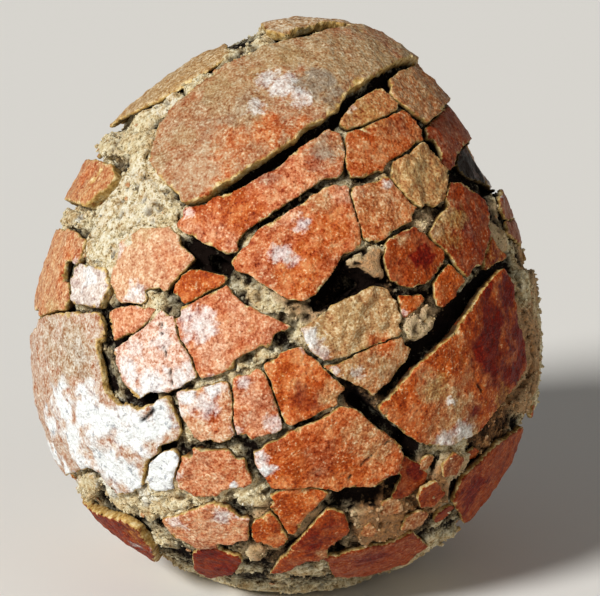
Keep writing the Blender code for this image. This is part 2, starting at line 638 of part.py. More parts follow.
def material(name):
    """A stone finish with the shell's or the sediment's colour."""
    colour, roughness = COLOURS[name]
    made = bpy.data.materials.new(name)
    made.use_nodes = True
    shader = made.node_tree.nodes["Principled BSDF"]
    shader.inputs["Base Color"].default_value = colour
    shader.inputs["Roughness"].default_value = roughness
    shader.inputs["Metallic"].default_value = 0.0
    return made


def join(obj, other, operation):
    """Unites another shape with obj, or cuts it away, and leaves one mesh in obj."""
    modifier = obj.modifiers.new(operation, "BOOLEAN")
    modifier.operation = operation
    modifier.object = other
    modifier.solver = "EXACT"
    graph = bpy.context.evaluated_depsgraph_get()
    mesh = bpy.data.meshes.new_from_object(obj.evaluated_get(graph))
    obj.modifiers.remove(modifier)
    obj.data = mesh
    bpy.data.objects.remove(other)


def sediment():
    """The filling: an ovoid under the shell, with its ledges, pads and open cracks, cut flat below."""
    bm = bmesh.new()
    bmesh.ops.create_icosphere(bm, subdivisions=CORE_SUBDIVISIONS, radius=1.0)
    for vert in bm.verts:
        vert.co = on_ray(vert.co.copy(), -SEDIMENT_DEPTH)
    core = to_object("sediment_core", bm)
    for name, ledge in SEDIMENT_LEDGES.items():
        piece = slab(name, ledge["outline"], ledge["lift"], -ROOT_DEPTH, lumps=LUMP_HEIGHT)
        join(core, piece, "UNION")
    ridge = CROWN_PLATES["plate_crown_ridge"]
    pad_top = ridge["bed"] - BED_GAP
    pad = slab("ridge_pad", ridge["outline"], pad_top, -ROOT_DEPTH, PAD_INSET, ridge["tip"])
    join(core, pad, "UNION")
    join(core, base(), "UNION")
    for name, sunken in SUNKEN_BEDS.items():
        join(core, slab(name, sunken["outline"], TROUGH_TOP, -sunken["depth"]), "DIFFERENCE")
    for name, outline in OPEN_CRACKS.items():
        join(core, slab(name, outline, TROUGH_TOP, -TROUGH_DEPTH), "DIFFERENCE")
    cut_flat(core)
    return core


def base():
    """The collar of sediment round the flat spot, level with the shell."""
    down = Vector((0, 0, -1))
    rim = []
    for k in range(BASE_CORNERS):
        angle = 2 * math.pi * k / BASE_CORNERS
        wave = BASE_RADIUS * (1 + BASE_WAVE * math.sin(3 * angle))
        side = Vector((math.cos(angle), math.sin(angle), 0)) * wave
        ray = (down * HALF_LENGTH + side).normalized()
        across = ray - TO_EYE * ray.dot(TO_EYE)
        beta = math.degrees(math.atan2(across.dot(SHEET_UP), across.dot(SHEET_RIGHT)))
        rim.append(turn(beta, math.degrees(math.acos(ray.dot(TO_EYE)))))
    return slab("base", rim, 0.0, -ROOT_DEPTH)


def cut_flat(core):
    """Cuts the core at the floor and closes the cut."""
    bm = bmesh.new()
    bm.from_mesh(core.data)
    geometry = bm.verts[:] + bm.edges[:] + bm.faces[:]
    cut = bmesh.ops.bisect_plane(
        bm, geom=geometry, dist=1e-6, plane_co=(0, 0, 0), plane_no=(0, 0, 1), clear_inner=True
    )
    rim = [item for item in cut["geom_cut"] if isinstance(item, bmesh.types.BMEdge)]
    bmesh.ops.edgeloop_fill(bm, edges=rim)
    bmesh.ops.recalc_face_normals(bm, faces=bm.faces)
    bm.to_mesh(core.data)
    bm.free()


def standing_height():
    """Height of the egg's centre above the floor, once its blunt end is cut flat."""
    tilts = [math.radians(degrees) for degrees in range(-20, 21)]
    lowest = min(on_ray(Vector((math.sin(tilt), 0.0, -math.cos(tilt))), 0.0).z for tilt in tilts)
    return -lowest - FLAT_SPOT_CUT


def build():
    core = sediment()
    core.data.materials.append(material("sediment"))
    shell = material("shell")
    groups = (CROWN_PLATES, UPPER_PLATES, CENTRE_PLATES, RIGHT_PLATES, LEFT_PLATES, LOWER_PLATES, FOOT_PLATES)
    for group in groups:
        for name, plate in group.items():
            bottom = plate.get("bed", -SHELL)
            made = slab(name, plate["outline"], plate["lift"], bottom, tip=plate.get("tip", (0, 0)))
            made.data.materials.append(shell)
    for name, corners in BACK_PLATES.items():
        outline = [far(x, y) for x, y in bent_sides(corners)]
        made = slab(name, outline, 0.0, -SHELL, inset=BACK_CRACK)
        made.data.materials.append(shell)


for old in list(bpy.data.objects):
    bpy.data.objects.remove(old)
part = bpy.data.collections.new("fossil_dinosaur_egg")
bpy.context.scene.collection.children.link(part)
CENTRE = Vector((0.0, 0.0, standing_height()))
build()
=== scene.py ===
import bmesh
import bpy
import numpy as np
from mathutils import Matrix, Vector, kdtree
from mathutils.bvhtree import BVHTree


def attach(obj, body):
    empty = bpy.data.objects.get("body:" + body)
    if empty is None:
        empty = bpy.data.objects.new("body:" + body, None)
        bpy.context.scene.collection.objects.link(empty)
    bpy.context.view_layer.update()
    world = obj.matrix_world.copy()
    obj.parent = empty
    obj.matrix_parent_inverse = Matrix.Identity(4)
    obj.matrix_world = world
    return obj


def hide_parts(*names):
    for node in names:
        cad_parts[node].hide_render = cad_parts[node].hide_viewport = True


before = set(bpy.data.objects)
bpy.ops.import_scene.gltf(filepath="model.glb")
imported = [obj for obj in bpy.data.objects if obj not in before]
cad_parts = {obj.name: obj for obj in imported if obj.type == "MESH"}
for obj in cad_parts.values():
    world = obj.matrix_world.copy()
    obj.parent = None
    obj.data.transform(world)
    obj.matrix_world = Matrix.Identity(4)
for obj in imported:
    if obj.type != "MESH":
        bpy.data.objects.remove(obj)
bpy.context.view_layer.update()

# All sizes are millimetres from the egg's centre: x right, y away from the front, z up
egg = {
    "centreHeight": 96.03,
    "halfLength": 101.0,
    "halfWidth": 87.6,
    "halfDepth": 85.0,
    "taper": 0.18,
    "leanDegrees": 6.5,
}
eye = {
    "distance": 900.0,
    "elevation": 18.0,
    "frameWidth": 210.0,
    "sensorWidth": 36.0,
    "shiftX": 10 / 600,
    "shiftY": 6 / 600,
}

centre = np.array([0.0, 0.0, egg["centreHeight"]])
elevation = np.radians(eye["elevation"])
toEye = np.array([0.0, -np.cos(elevation), np.sin(elevation)])
sheetRight = np.array([1.0, 0.0, 0.0])
sheetUp = np.array([0.0, np.sin(elevation), np.cos(elevation)])


def cloud(points, size, seed=0):
    # soft noise between about -1 and 1, one bump every size millimetres
    turned = points @ np.array([[0.80, 0.52, -0.30], [-0.36, 0.83, 0.42], [0.47, -0.23, 0.85]])
    place = turned / size + 31.7 * seed
    cell = np.floor(place).astype(np.int64)
    inside = place - cell
    ease = inside * inside * (3 - 2 * inside)
    total = np.zeros(len(points))
    for corner in np.ndindex(2, 2, 2):
        at = cell + np.array(corner)
        mixed = (at[:, 0] * 73856093) ^ (at[:, 1] * 19349663) ^ (at[:, 2] * 83492791)
        mixed = ((mixed ^ (mixed >> 13)) * 1274126177) & 0xFFFFF
        angle = mixed / 1000.0
        slope = np.stack([np.sin(angle * 12.9898), np.sin(angle * 78.233), np.sin(angle * 37.719)], 1)
        share = np.prod(np.where(np.array(corner) == 1, ease, 1 - ease), axis=1)
        total += share * (slope * (inside - np.array(corner))).sum(1)
    return total * 1.5


def clouds(points, rows, shift=0):
    # layers of noise: height, size and seed of each
    return sum(height * cloud(points, size, seed + shift) for height, size, seed in rows)


def ease01(value):
    value = np.clip(value, 0.0, 1.0)
    return value * value * (3 - 2 * value)


def eggShare(points):
    # 1 on the unbroken shell, less inside it and more outside
    lean = np.radians(egg["leanDegrees"])
    x = np.cos(lean) * points[:, 0] - np.sin(lean) * points[:, 2]
    z = np.sin(lean) * points[:, 0] + np.cos(lean) * points[:, 2]
    along = z / egg["halfLength"]
    across = (x / egg["halfWidth"]) ** 2 + (points[:, 1] / egg["halfDepth"]) ** 2
    return np.sqrt(across / np.maximum(0.05, 1 - egg["taper"] * along) ** 2 + along**2)


def heightAbove(points):
    # height above the unbroken shell
    return np.linalg.norm(points, axis=1) * (1 - 1 / np.maximum(eggShare(points), 0.05))


def outwards(points):
    slope = np.stack([eggShare(points + step) - eggShare(points - step) for step in np.eye(3) * 0.1], 1)
    return slope / np.linalg.norm(slope, axis=1)[:, None]


def spot(right, up):
    # the place on the shell behind a point of the sheet that stands across the egg's centre
    eyePoint = toEye * eye["distance"]
    for shrink in np.linspace(1.0, 0.8, 41):
        sight = (sheetRight * right + sheetUp * up) * shrink - eyePoint
        sight /= np.linalg.norm(sight)
        near = eyePoint - sight * eyePoint.dot(sight)
        if heightAbove(near[None])[0] < 0:
            break
    far = eyePoint
    for _ in range(30):
        middle = (far + near) / 2
        if heightAbove(middle[None])[0] > 0:
            far = middle
        else:
            near = middle
    return near


# The tone of each plate: shares of a film or stain over the orange shell
plateTones = {
    "crown_cap": {"pale": 0.85, "rosy": 0.3, "crust": 0.2},
    "crown_slab": {"pale": 0.5, "rosy": 0.15, "grey": 0.45},
    "crown_ridge": {"pale": 0.95, "ochre": 0.35, "crust": 0.15}, "band_upper": {"rosy": 0.30},
    "brow_left": {"pale": 0.40, "deep": 0.15, "ochre": 0.3}, "brow_middle": {"pale": 0.15, "deep": 0.2},
    "brow_right": {"pale": 0.55, "grey": 0.30, "deep": 0.15}, "brow_edge": {"deep": 0.55, "grey": 0.3},
    "temple_rough": {"pale": 0.65, "deep": 0.15, "ochre": 0.4}, "temple_smooth": {"deep": 0.60, "grey": 0.2},
    # the shadowed temple plate: dark grey and deep red, nearly black under painted shade of a recess
    "temple_shadow": {"deep": 0.5, "grey": 0.7, "painted_shade": 0.72},
    "centre_large": {"rosy": 0.2}, "centre_right": {"pale": 0.35}, "centre_dark": {"deep": 0.5},
    "centre_wedge": {"deep": 0.25}, "centre_chip": {"deep": 0.1}, "centre_rough": {"pale": 0.85},
    "centre_ledge": {"pale": 0.60, "grey": 0.25},
    "right_slab": {"deep": 0.2}, "right_upper": {"grey": 0.5, "deep": 0.4},
    "right_middle": {"grey": 0.5, "deep": 0.4}, "right_chip": {"deep": 0.35, "ochre": 0.3},
    "right_foot": {"deep": 0.60, "grey": 0.15},
    "left_shoulder": {"pale": 0.35, "rosy": 0.3, "ochre": 0.3},
    "left_rim": {"pale": 0.40, "rosy": 0.45, "ochre": 0.2},
    "left_block": {"pale": 0.60, "crust": 0.55}, "left_field": {"rosy": 0.9, "pale": 0.3}, "left_chip": {},
    "left_wedge": {"rosy": 0.5}, "left_pale": {"rosy": 0.75, "crust": 0.30}, "left_rosy": {"rosy": 0.3},
    "left_slab": {"rosy": 0.5, "pale": 0.5, "grey": 0.4, "crust": 0.27},
    "row_left": {"rosy": 0.8, "pale": 0.3, "crust": 0.12}, "row_middle": {"rosy": 0.28}, "row_right": {},
    "lower_large": {"rosy": 0.1}, "lower_right": {"deep": 0.60}, "lower_white": {"crust": 0.95},
    "lower_left": {"rosy": 0.32, "pale": 0.15},
    "foot_upper": {"deep": 0.15}, "foot_small": {"deep": 0.15}, "foot_left": {"rosy": 0.45, "pale": 0.2},
    "foot_dark": {"deep": 0.80}, "foot_edge": {"deep": 0.75}, "foot_long": {"deep": 0.55},
    "foot_right": {"deep": 0.60, "grey": 0.2},
}
# What the shards of the hidden side are picked from
shardTones = [
    {}, {"rosy": 0.4}, {"deep": 0.5}, {"pale": 0.6}, {"pale": 0.4, "grey": 0.35}, {"deep": 0.3, "rosy": 0.2},
    {"pale": 0.35, "ochre": 0.4}, {"rosy": 0.6, "crust": 0.2}, {"deep": 0.15}, {"rosy": 0.3, "pale": 0.3},
]
# Plates whose broken edge is cream or gold all the way down, as the painted shade on their broken faces fades
# in only slowly
paleEdged = (
    "crown_slab", "crown_ridge", "crown_cap", "left_slab", "left_block", "left_shoulder", "foot_edge",
)
# Where an edge is worn to a slope that bares its layers: radius, and corners on the sheet
wornEdges = [
    (2.6, [(-65.5, -5), (-64.5, -18), (-61, -28), (-55, -33.5)]),
    (2.0, [(-24, 41), (-12, 47.5), (3, 57.5), (10, 62)]), (2.2, [(10, 62), (16, 66.5), (20, 73), (25, 79)]),
    (2.2, [(-67, 53), (-65, 46), (-69, 40)]),
    (1.8, [(-60, 62), (-53, 65.5), (-47, 69.5), (-36, 78), (-22, 87)]),
    (1.2, [(77, 12), (80, 2), (83, -20), (80, -31), (73, -40), (66, -46)]),
    (1.8, [(-18, 96), (-4, 93.5), (12, 96), (28, 95)]),
]
# Extra height of lumps on the rough plates
plateRelief = {"temple_rough": 0.9, "centre_rough": 1.0, "centre_ledge": 0.4, "brow_right": 0.3,
               "left_slab": 0.25, "left_block": 0.4, "crown_slab": 0.2}

# Stains and crusts: right, up, radius and strength of each
stains = {
    "orange": [
        (-7, 60, 8, 0.62), (-20, 55, 8, 0.5), (2, 61, 6, 0.55), (-42, 15, 8, 0.5), (-20, 33, 12, 0.9),
        (-30, 30, 8, 0.6), (5, 12, 12, 0.8), (14, 26, 9, 0.8), (52, -40, 8, 0.5), (-28, -38, 7, 0.8),
        (30, 57, 7, 0.5), (36, 18, 6, 0.5), (8, -25, 9, 0.7), (-4, -58, 10, 0.6), (20, -60, 10, 0.5),
        (33, -14, 5, 0.8), (26, 24, 6, 0.5), (-78, 14, 9, 0.6), (-70, 44, 8, 0.5), (47, -40, 7, 0.8),
        (37, -38, 7, 0.8), (-20, 38, 8, 0.9),
    ],
    "deep": [
        (72, -5, 13, 1.0), (70, -18, 12, 1.0), (68, 8, 8, 1.0), (77, -24, 10, 1.0), (62, -2, 8, 0.9),
        (66, -14, 9, 0.9), (80, -8, 8, 1.0), (81, -19, 8, 1.0), (76, 5, 8, 1.0), (72, 15, 6, 0.9),
        (74, -33, 7, 0.8), (64, -38, 5, 0.8), (47, 15, 7, 0.95), (62, 26, 7, 0.8), (65, 20, 6, 0.8),
        (5, -33, 7, 0.6), (10, -54, 9, 0.5), (36, -24, 5, 0.8), (55, 55, 6, 0.8), (57, 50, 5, 0.9),
        (38, 62, 6, 0.6), (-62, -78, 9, 1.0), (-66, -73, 8, 1.0), (8, -84, 10, 0.8), (14, -77, 6, 0.7),
        (44, -60, 7, 0.9), (65, -66, 12, 0.9), (-26, -90, 9, 0.9), (28, -90, 12, 0.8), (12, 50, 6, 0.5),
        (47, 30, 4, 0.4), (-5, -78, 6, 0.5), (-16, 24, 6, 0.3), (12, 34, 5, 0.3), (-8, 0, 5, 0.35),
        (50, 20, 4, 0.6),
    ],
    "rosy": [
        (-34, 44, 9, 0.8), (-27, 46, 9, 0.8), (-8, -8, 9, 0.4), (-20, -6, 11, 0.5), (-27, -16, 9, 0.7),
        (-50, -16, 10, 0.8), (-46, -22, 9, 0.7), (-56, -6, 7, 0.5), (-85, -30, 9, 0.7), (-84, -50, 9, 0.6),
        (-30, -34, 8, 0.5), (-14, -32, 6, 0.6), (-12, -42, 6, 0.7), (-32, -58, 8, 0.5), (-26, -62, 7, 0.5),
        (-30, -78, 10, 0.7), (-34, 26, 5, 0.8), (-52, 14, 8, 0.4), (-88, 10, 8, 0.4), (34, 38, 6, 0.3),
        (2, 68, 9, 0.4), (-24, 27, 8, 0.8), (20, 38, 7, 0.6), (0, 30, 6, 0.5), (-40, 60, 8, 0.5),
    ],
    "pale": [
        (10, 84, 24, 0.9), (-18, 76, 20, 0.8), (28, 86, 18, 0.9), (-34, 66, 12, 0.6), (40, 87, 10, 0.9),
        (-24, 74, 10, 0.9), (-6, 84, 9, 0.9), (-38, 57, 8, 0.8), (-44, 50, 6, 0.8), (-4, 90, 20, 0.95),
        (-44, 56, 8, 0.6), (45, 46, 9, 0.9), (48, 75, 9, 0.7), (25, 72, 7, 0.6), (21, 0, 14, 0.95),
        (12, -10, 9, 0.9), (29, -6, 9, 0.8), (22, -22, 8, 0.8), (32, -20, 7, 0.8), (40, -16, 4, 0.6),
        (55, -38, 11, 0.85), (60, -46, 9, 0.9), (50, -30, 7, 0.7), (46, -10, 6, 0.9), (54, 32, 6, 0.8),
        (52, 26, 5, 0.7), (-56, 24, 6, 0.6), (-50, 26, 6, 0.6), (14, -31, 6, 0.7), (32, 36, 7, 0.5),
        (14, 56, 9, 0.5), (10, 36, 5, 0.5), (-78, -20, 14, 0.9), (-76, -12, 12, 0.9), (-83, -16, 14, 0.8),
        (-84, -8, 12, 0.7), (-70, -14, 8, 0.8), (-72, -24, 8, 0.8), (30, -50, 8, 0.5), (24, -45, 7, 0.5),
        (39, 22, 3, 0.6), (0, 98, 14, 0.9), (20, 98, 14, 0.9), (30, 62, 5, 0.4), (-70, 54, 7, 0.4),
        (12, -88, 4, 0.4), (22, 66, 5, 0.6), (-48, -76, 6, 0.8), (80, -36, 8, 0.6),
    ],
    "grey": [
        (8, 77, 9, 0.9), (14, 73, 7, 0.8), (2, 80, 7, 0.5), (12, 54, 7, 0.7), (52, 76, 7, 0.5),
        (-74, -16, 9, 0.6), (-72, -26, 7, 0.5), (65, 48, 8, 1.0), (69, 44, 7, 1.0), (58, 64, 7, 0.5),
        (-8, 45, 6, 0.4), (-40, 68, 9, 0.4), (80, 26, 6, 0.5), (77, 34, 5, 0.5), (30, -17, 5, 0.3),
        (-16, 67, 12, 0.6), (-28, 61, 10, 0.55), (-4, 66, 7, 0.5), (62, 26, 8, 0.3), (-30, 70, 8, 0.4),
        (24, 84, 9, 0.4),
    ],
    "ochre": [
        (-64, 62, 9, 0.6), (-40, 76, 8, 0.5), (0, 86, 7, 0.5), (-26, 76, 8, 0.5), (-12, 80, 6, 0.6),
        (34, 84, 6, 0.5), (58, 30, 8, 0.6), (56, 22, 7, 0.5), (28, 66, 7, 0.5), (52, -30, 8, 0.5),
        (74, -34, 8, 0.5), (-54, -80, 7, 0.4), (44, 42, 8, 0.4),
    ],
    "crust": [
        (-3, 76, 6, 0.54), (3, 72, 5, 0.5), (-8, 78, 5, 0.5), (-12, 68, 4, 0.45), (20, 70, 4, 0.4),
        (4, 28, 3.4, 0.62), (-3, 17, 4.6, 0.60), (2, 15, 3, 0.5), (-32, -8, 7, 0.66), (-36, -4, 5, 0.6),
        (-28, -4, 4, 0.5), (-44, -14, 6, 0.6), (-48, -28, 8, 0.85), (-38, -26, 6, 0.7), (-56, -24, 6, 0.7),
        (-54, -16, 5, 0.5), (-80, -36, 10, 1.0), (-72, -38, 10, 1.0), (-64, -42, 12, 1.0),
        (-84, -42, 8, 1.0), (-83, -53, 7, 1.0), (-77, -60, 7, 0.9), (-66, -64, 8, 1.0), (-52, -66, 7, 1.0),
        (-46, -36, 5, 1.0), (-53, -33, 5, 0.9), (-76, -48, 10, 1.0), (-54, -44, 11, 1.0),
        (-45, -42, 7, 1.0), (-64, -55, 12, 1.0), (-56, -60, 9, 1.0), (-72, -56, 7, 0.9), (-70, -30, 5, 0.7),
        (-58, -38, 6, 0.9), (-45, -58, 7, 1.0), (-44, -62, 5, 1.0), (-36, -32, 5, 0.85),
        (-28, -30, 5, 0.75), (-39, -38, 3, 0.6), (-16, -28, 3, 0.5), (-6, -42, 4, 0.6), (-19, -45, 3, 0.5),
        (-9, -58, 4, 0.85), (-11, -53, 3.5, 0.7), (-20, -63.5, 1.7, 1.0), (-16, -72, 5, 0.8),
        (-24, -74, 5, 0.6), (-40, -76, 5, 0.5), (60, -45, 6, 0.6), (54, -47, 5, 0.55), (56, -34, 2.5, 0.5),
        (-70, 8, 7, 0.8), (-76, 12, 4, 0.5), (-74, 31, 4, 0.7), (-54, 4, 5, 0.65), (-60, 20, 4, 0.5),
        (6, -12, 5, 0.7), (11, -17, 4, 0.5), (-36, 32, 3, 0.5), (16, -24, 3, 0.5), (24, -24, 3, 0.45),
        (34, 42, 2.5, 0.45), (-44, -88, 5, 0.7), (-54, -84, 4, 0.5), (40, -4, 2, 0.5), (74, 40, 4, 1.0),
        (-30, -36, 6, 0.6),
    ],
}
stainPlaces = {tone: [(spot(a, b), r, s) for a, b, r, s in rows] for tone, rows in stains.items()}
print("stains placed:", sum(len(rows) for rows in stains.values()))


def stainAt(points, tone):
    total = np.zeros(len(points))
    for where, radius, strength in stainPlaces[tone]:
        away = np.linalg.norm(points - where, axis=1) / radius
        near = away < 1.8
        if near.any():
            fringe = clouds(points[near], [(0.45, radius * 0.55, 3), (0.25, radius * 0.2, 4)])
            total[near] = np.maximum(total[near], strength * ease01((1.2 - away[near] + fringe) * 1.1))
    return total


def hiddenSide(points):
    # 0 on the front, 1 on the side that has no placed stains
    facing = points @ toEye / np.linalg.norm(points, axis=1)
    return ease01((0.15 - facing) / 0.35)


def tonesAt(points, own=None):
    hidden = hiddenSide(points)
    own = own or {}
    tones = {}
    for number, tone in enumerate(stains):
        drift = clouds(points, [(1.0, 20 + 3 * number, 20 + number), (0.6, 7, 30 + number)])
        drift = ease01(drift * 1.6 - 0.05 + 0.4 * own.get(tone, 0.0) - (tone == "crust") * 0.2)
        placed = np.maximum(stainAt(points, tone), own.get(tone, 0.0))
        tones[tone] = np.maximum(placed, hidden * drift * (0.5 if tone in ("grey", "ochre") else 0.7))
    clear = 1 - tones.pop("orange") * (1 - hidden)
    for tone in ("pale", "rosy", "grey", "ochre"):
        tones[tone] *= clear
    return tones


# Cracks that stand open, their silt sunk and painted black as shade: radius, and corners on the sheet
openCracks = [
    (4.0, [(-22, 41), (-12, 47), (-5, 51.5), (2, 56), (9, 61), (16, 65.5), (20, 71)]),
    (4.0, [(20, 71), (26, 75), (30, 77), (36, 80), (41, 83), (46, 86)]),
    (6.0, [(-34, 19), (-26, 15)]),
    (2.6, [(-16, 22), (-10.5, 28.7), (-3.5, 33), (3.5, 37), (10.5, 41), (21, 44), (30, 45)]),
    (7.0, [(14, 6), (22, 10), (28, 12)]),
    (3.2, [(36, 5), (42, 3.5), (50, 3)]),
    (5.0, [(34, -29), (37, -25), (44, -18), (52, -11), (60, -4), (66, 3), (73, 9), (79, 15)]),
    (3.6, [(20, -31), (26, -35), (33, -42), (40, -47.6), (47, -53), (54, -58), (54, -66)]),
    (4.0, [(-15, -51), (-11, -58), (-8.8, -63)]),
    (2.4, [(-52, -45), (-44, -50), (-35, -48), (-26, -50), (-17, -50)]),
    (5.2, [(-62, -5), (-61, -18), (-57, -28), (-52, -33.5)]),
    (3.0, [(13, -69), (12, -71), (7, -77), (1.8, -84), (-6, -92)]),
    (4.5, [(18, -69), (24, -69), (30, -69)]),
    (3.0, [(49, 31), (54, 34)]),
    (5.0, [(60, 44), (66, 50), (71, 40)]),
    (1.8, [(-32, -50), (-38, -40), (-40, -34)]),
]


# Narrow seams between the plates that are packed with pebbly silt
seams = [
    (2.4, [(-36, -29), (-18, -24), (0, -14), (9, -8)]), (2.6, [(-21, 11), (-10, 3), (4, -6)]),
    (2.0, [(-38, -48), (-17, -50), (3, -43), (18, -35)]), (2.4, [(6, -12), (14, -18), (22, -26)]),
    (2.0, [(30, 52), (38, 47), (44, 40)]), (2.2, [(-48, 24), (-36, 16), (-26, 15)]),
    (2.0, [(38, 24), (44, 30), (52, 34)]), (1.8, [(-60, -8), (-52, -2), (-40, 0)]),
    (2.0, [(-34, -68), (-22, -70), (-10, -66)]), (1.8, [(-66, 2), (-57, 6), (-54, 14)]),
    (1.8, [(34, -68), (40, -62), (46, -58)]), (2.0, [(46, 6), (52, 12), (60, 20)]),
]


def fromLine(points, corners):
    # distance from a line of corners laid on the shell
    away = np.full(len(points), 999.0)
    places = [spot(*corner) for corner in corners]
    for start, end in zip(places, places[1:]):
        along = end - start
        share = np.clip((points - start) @ along / along.dot(along), 0, 1)
        away = np.minimum(away, np.linalg.norm(points - start - share[:, None] * along, axis=1))
    return away


def openShare(points):
    total = np.zeros(len(points))
    for radius, corners in openCracks:
        total = np.maximum(total, ease01((1.3 - fromLine(points, corners) / radius) * 2.5))
    return total


def seamShare(points):
    total = np.zeros(len(points))
    for radius, corners in seams:
        total = np.maximum(total, ease01((1.4 - fromLine(points, corners) / radius) * 2))
    return total


# Layers of noise on each surface: height, size and seed
relief = {
    "bend": [(0.42, 8.0, 50), (0.30, 2.6, 60)],
    "plate": [(0.32, 9.0, 1), (0.20, 3.2, 2), (0.12, 1.5, 3)],
    "roughPlate": [(1.3, 6.0, 9), (0.7, 2.6, 10)],
    "brokenFace": [(0.30, 2.4, 6), (0.18, 1.2, 7)],
    "silt": [(0.50, 6.0, 33), (0.30, 2.3, 34), (0.34, 1.5, 38)],
    "siltPits": [(1.0, 2.4, 35), (0.4, 7.0, 39)],
    "chip": [(0.16, 2.2, 2), (0.12, 1.2, 3)],
}


def warp(points):
    # the ragged run of every crack: plates and filling bend alike, so nothing meets
    return points + np.stack([clouds(points, relief["bend"], axis) for axis in range(3)], 1)


def pointsOf(mesh):
    flat = np.empty(len(mesh.vertices) * 3)
    mesh.vertices.foreach_get("co", flat)
    return flat.reshape(-1, 3) * 1000 - centre


def setPoints(mesh, points):
    mesh.vertices.foreach_set("co", ((points + centre) / 1000).ravel())
    mesh.update()


def normalsOf(mesh):
    flat = np.empty(len(mesh.vertices) * 3)
    mesh.vertex_normals.foreach_get("vector", flat)
    return flat.reshape(-1, 3)


def paint(mesh, name, values):
    layer = mesh.attributes.new(name, "FLOAT", "POINT")
    layer.data.foreach_set("value", np.clip(values, 0, 1).astype(np.float32))


def objectOf(name, data):
    made = bpy.data.objects.new(name, data)
    bpy.context.scene.collection.objects.link(made)
    return made


def meshOf(name, bm):
    mesh = bpy.data.meshes.new(name)
    bm.to_mesh(mesh)
    bm.free()
    return mesh


def refined(name, bm, voxel):
    # an even skin of small faces over a coarse solid
    mesh = meshOf(name, bm)
    piece = objectOf(name, mesh)
    skin = piece.modifiers.new("skin", "REMESH")
    skin.mode = "VOXEL"
    skin.voxel_size = voxel / 1000
    fine = bpy.data.meshes.new_from_object(piece.evaluated_get(bpy.context.evaluated_depsgraph_get()))
    piece.modifiers.remove(skin)
    piece.data = fine
    bpy.data.meshes.remove(mesh)
    fine.name = name
    fine.shade_smooth()
    return piece


def coarseCopy(node):
    bm = bmesh.new()
    bm.from_mesh(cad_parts[node].data)
    bmesh.ops.remove_doubles(bm, verts=bm.verts, dist=1e-6)
    return bm


# Shell plates: sizes in millimetres, shares and angles
shell = {
    "frontVoxel": 0.72,
    "hiddenVoxel": 1.05,
    "topFacing": 0.55,
    # where an edge is drawn to, how far it looks and over what width it pulls
    "hairline": 0.9,
    "hiddenCrack": 2.6,
    "reach": 6.0,
    "edgeSpan": 2.2,
    "steps": 6,
    "smoothing": 1.0,
    "pullWidth": 4.0,
    "keptGap": 0.6,
    "keptSeam": 0.7,
    # worn rim, chips and crust
    "wornEdge": 0.12,
    "wornWidth": 0.5,
    "wornDepth": 0.8,
    "bareWidth": 0.4,
    "chipDepth": 0.7,
    "chipWidth": 1.0,
    "grooveDepth": 0.8,
    "crustHeight": 0.45,
    "sunken": {"temple_shadow": -2.6},
    # share of the rim that shows its layers, and the width over which painted shade darkens a broken face
    # below its rim: for a pale edged plate and for the others
    "rimShare": {True: 0.6, False: 0.12},
    "faceWidth": {True: 7.0, False: 1.8},
    # the hidden side
    "shards": 4,
    "halfCrack": 0.3,
    "cutSlant": 0.6,
    "cutShiftMetres": 0.005,
    "shardTilt": 1.6,
    "shardLift": 0.7,
}


def nearestRim(mesh, points, top):
    # the points of the plate's upper edge, and which of them is nearest to every point and how far off
    ends = np.empty(len(mesh.edges) * 2, np.int64)
    mesh.edges.foreach_get("vertices", ends)
    ends = ends.reshape(-1, 2)
    rim = np.unique(ends[top[ends[:, 0]] != top[ends[:, 1]]])
    tree = kdtree.KDTree(len(rim))
    for number, index in enumerate(rim):
        tree.insert(points[index], number)
    tree.balance()
    found = [tree.find(point)[1:] for point in points]
    return rim, tree, np.array([f[0] for f in found]), np.array([f[1] for f in found])


def drawnTogether(others, points, out, top, rim, tree, nearest, away):
    # grows each edge to halfway to the next plate, so that the plates meet at hairlines with sharp
    # corners, except along the open cracks and round the bare sediment
    at = points[rim]
    hidden = hiddenSide(at)
    want = shell["hairline"] * (1 + 0.7 * cloud(at, 9, 82))
    want += hidden * shell["hiddenCrack"] * ease01(1.6 * cloud(at, 24, 81) + 0.25)
    kept = np.maximum(shell["keptGap"] * gapShare(at, filledGaps) * (1 - hidden),
                      shell["keptSeam"] * seamShare(at))
    free = (1 - openShare(at)) * (1 - kept)
    body = kdtree.KDTree(int(top.sum()))
    for index in np.flatnonzero(top):
        body.insert(points[index], index)
    body.balance()
    pull = np.zeros((len(rim), 3))
    for number, index in enumerate(rim):
        inner = [co for co, _, _ in body.find_range(at[number], shell["edgeSpan"])]
        if len(inner) < 3:
            continue
        ahead = at[number] - np.mean(inner, axis=0)
        ahead -= out[index] * ahead.dot(out[index])
        ahead /= np.linalg.norm(ahead) + 1e-9
        grow = 0.0
        for _ in range(shell["steps"]):
            place = at[number] + ahead * grow
            found = others.find_nearest(Vector((place + centre) / 1000), shell["reach"] / 1000)
            if found[0] is None:
                grow = 0.0
                break
            gap = np.array(found[0]) * 1000 - centre - place
            gap = np.linalg.norm(gap - out[index] * gap.dot(out[index]))
            grow += (gap - grow - want[number]) / 2
            if grow < 0:
                break
        onward = max(grow, 0.0) * free[number] * ease01((shell["reach"] / 2 - grow) / 0.6)
        pull[number] = ahead * (onward + min(grow, 0.0) * hidden[number])
    smooth = np.array([
        pull[[n for _, n, _ in tree.find_range(points[index], shell["smoothing"])]].mean(0) for index in rim
    ])
    return smooth[nearest] * np.where(top, np.exp(-(away / shell["pullWidth"]) ** 2), 1.0)[:, None]


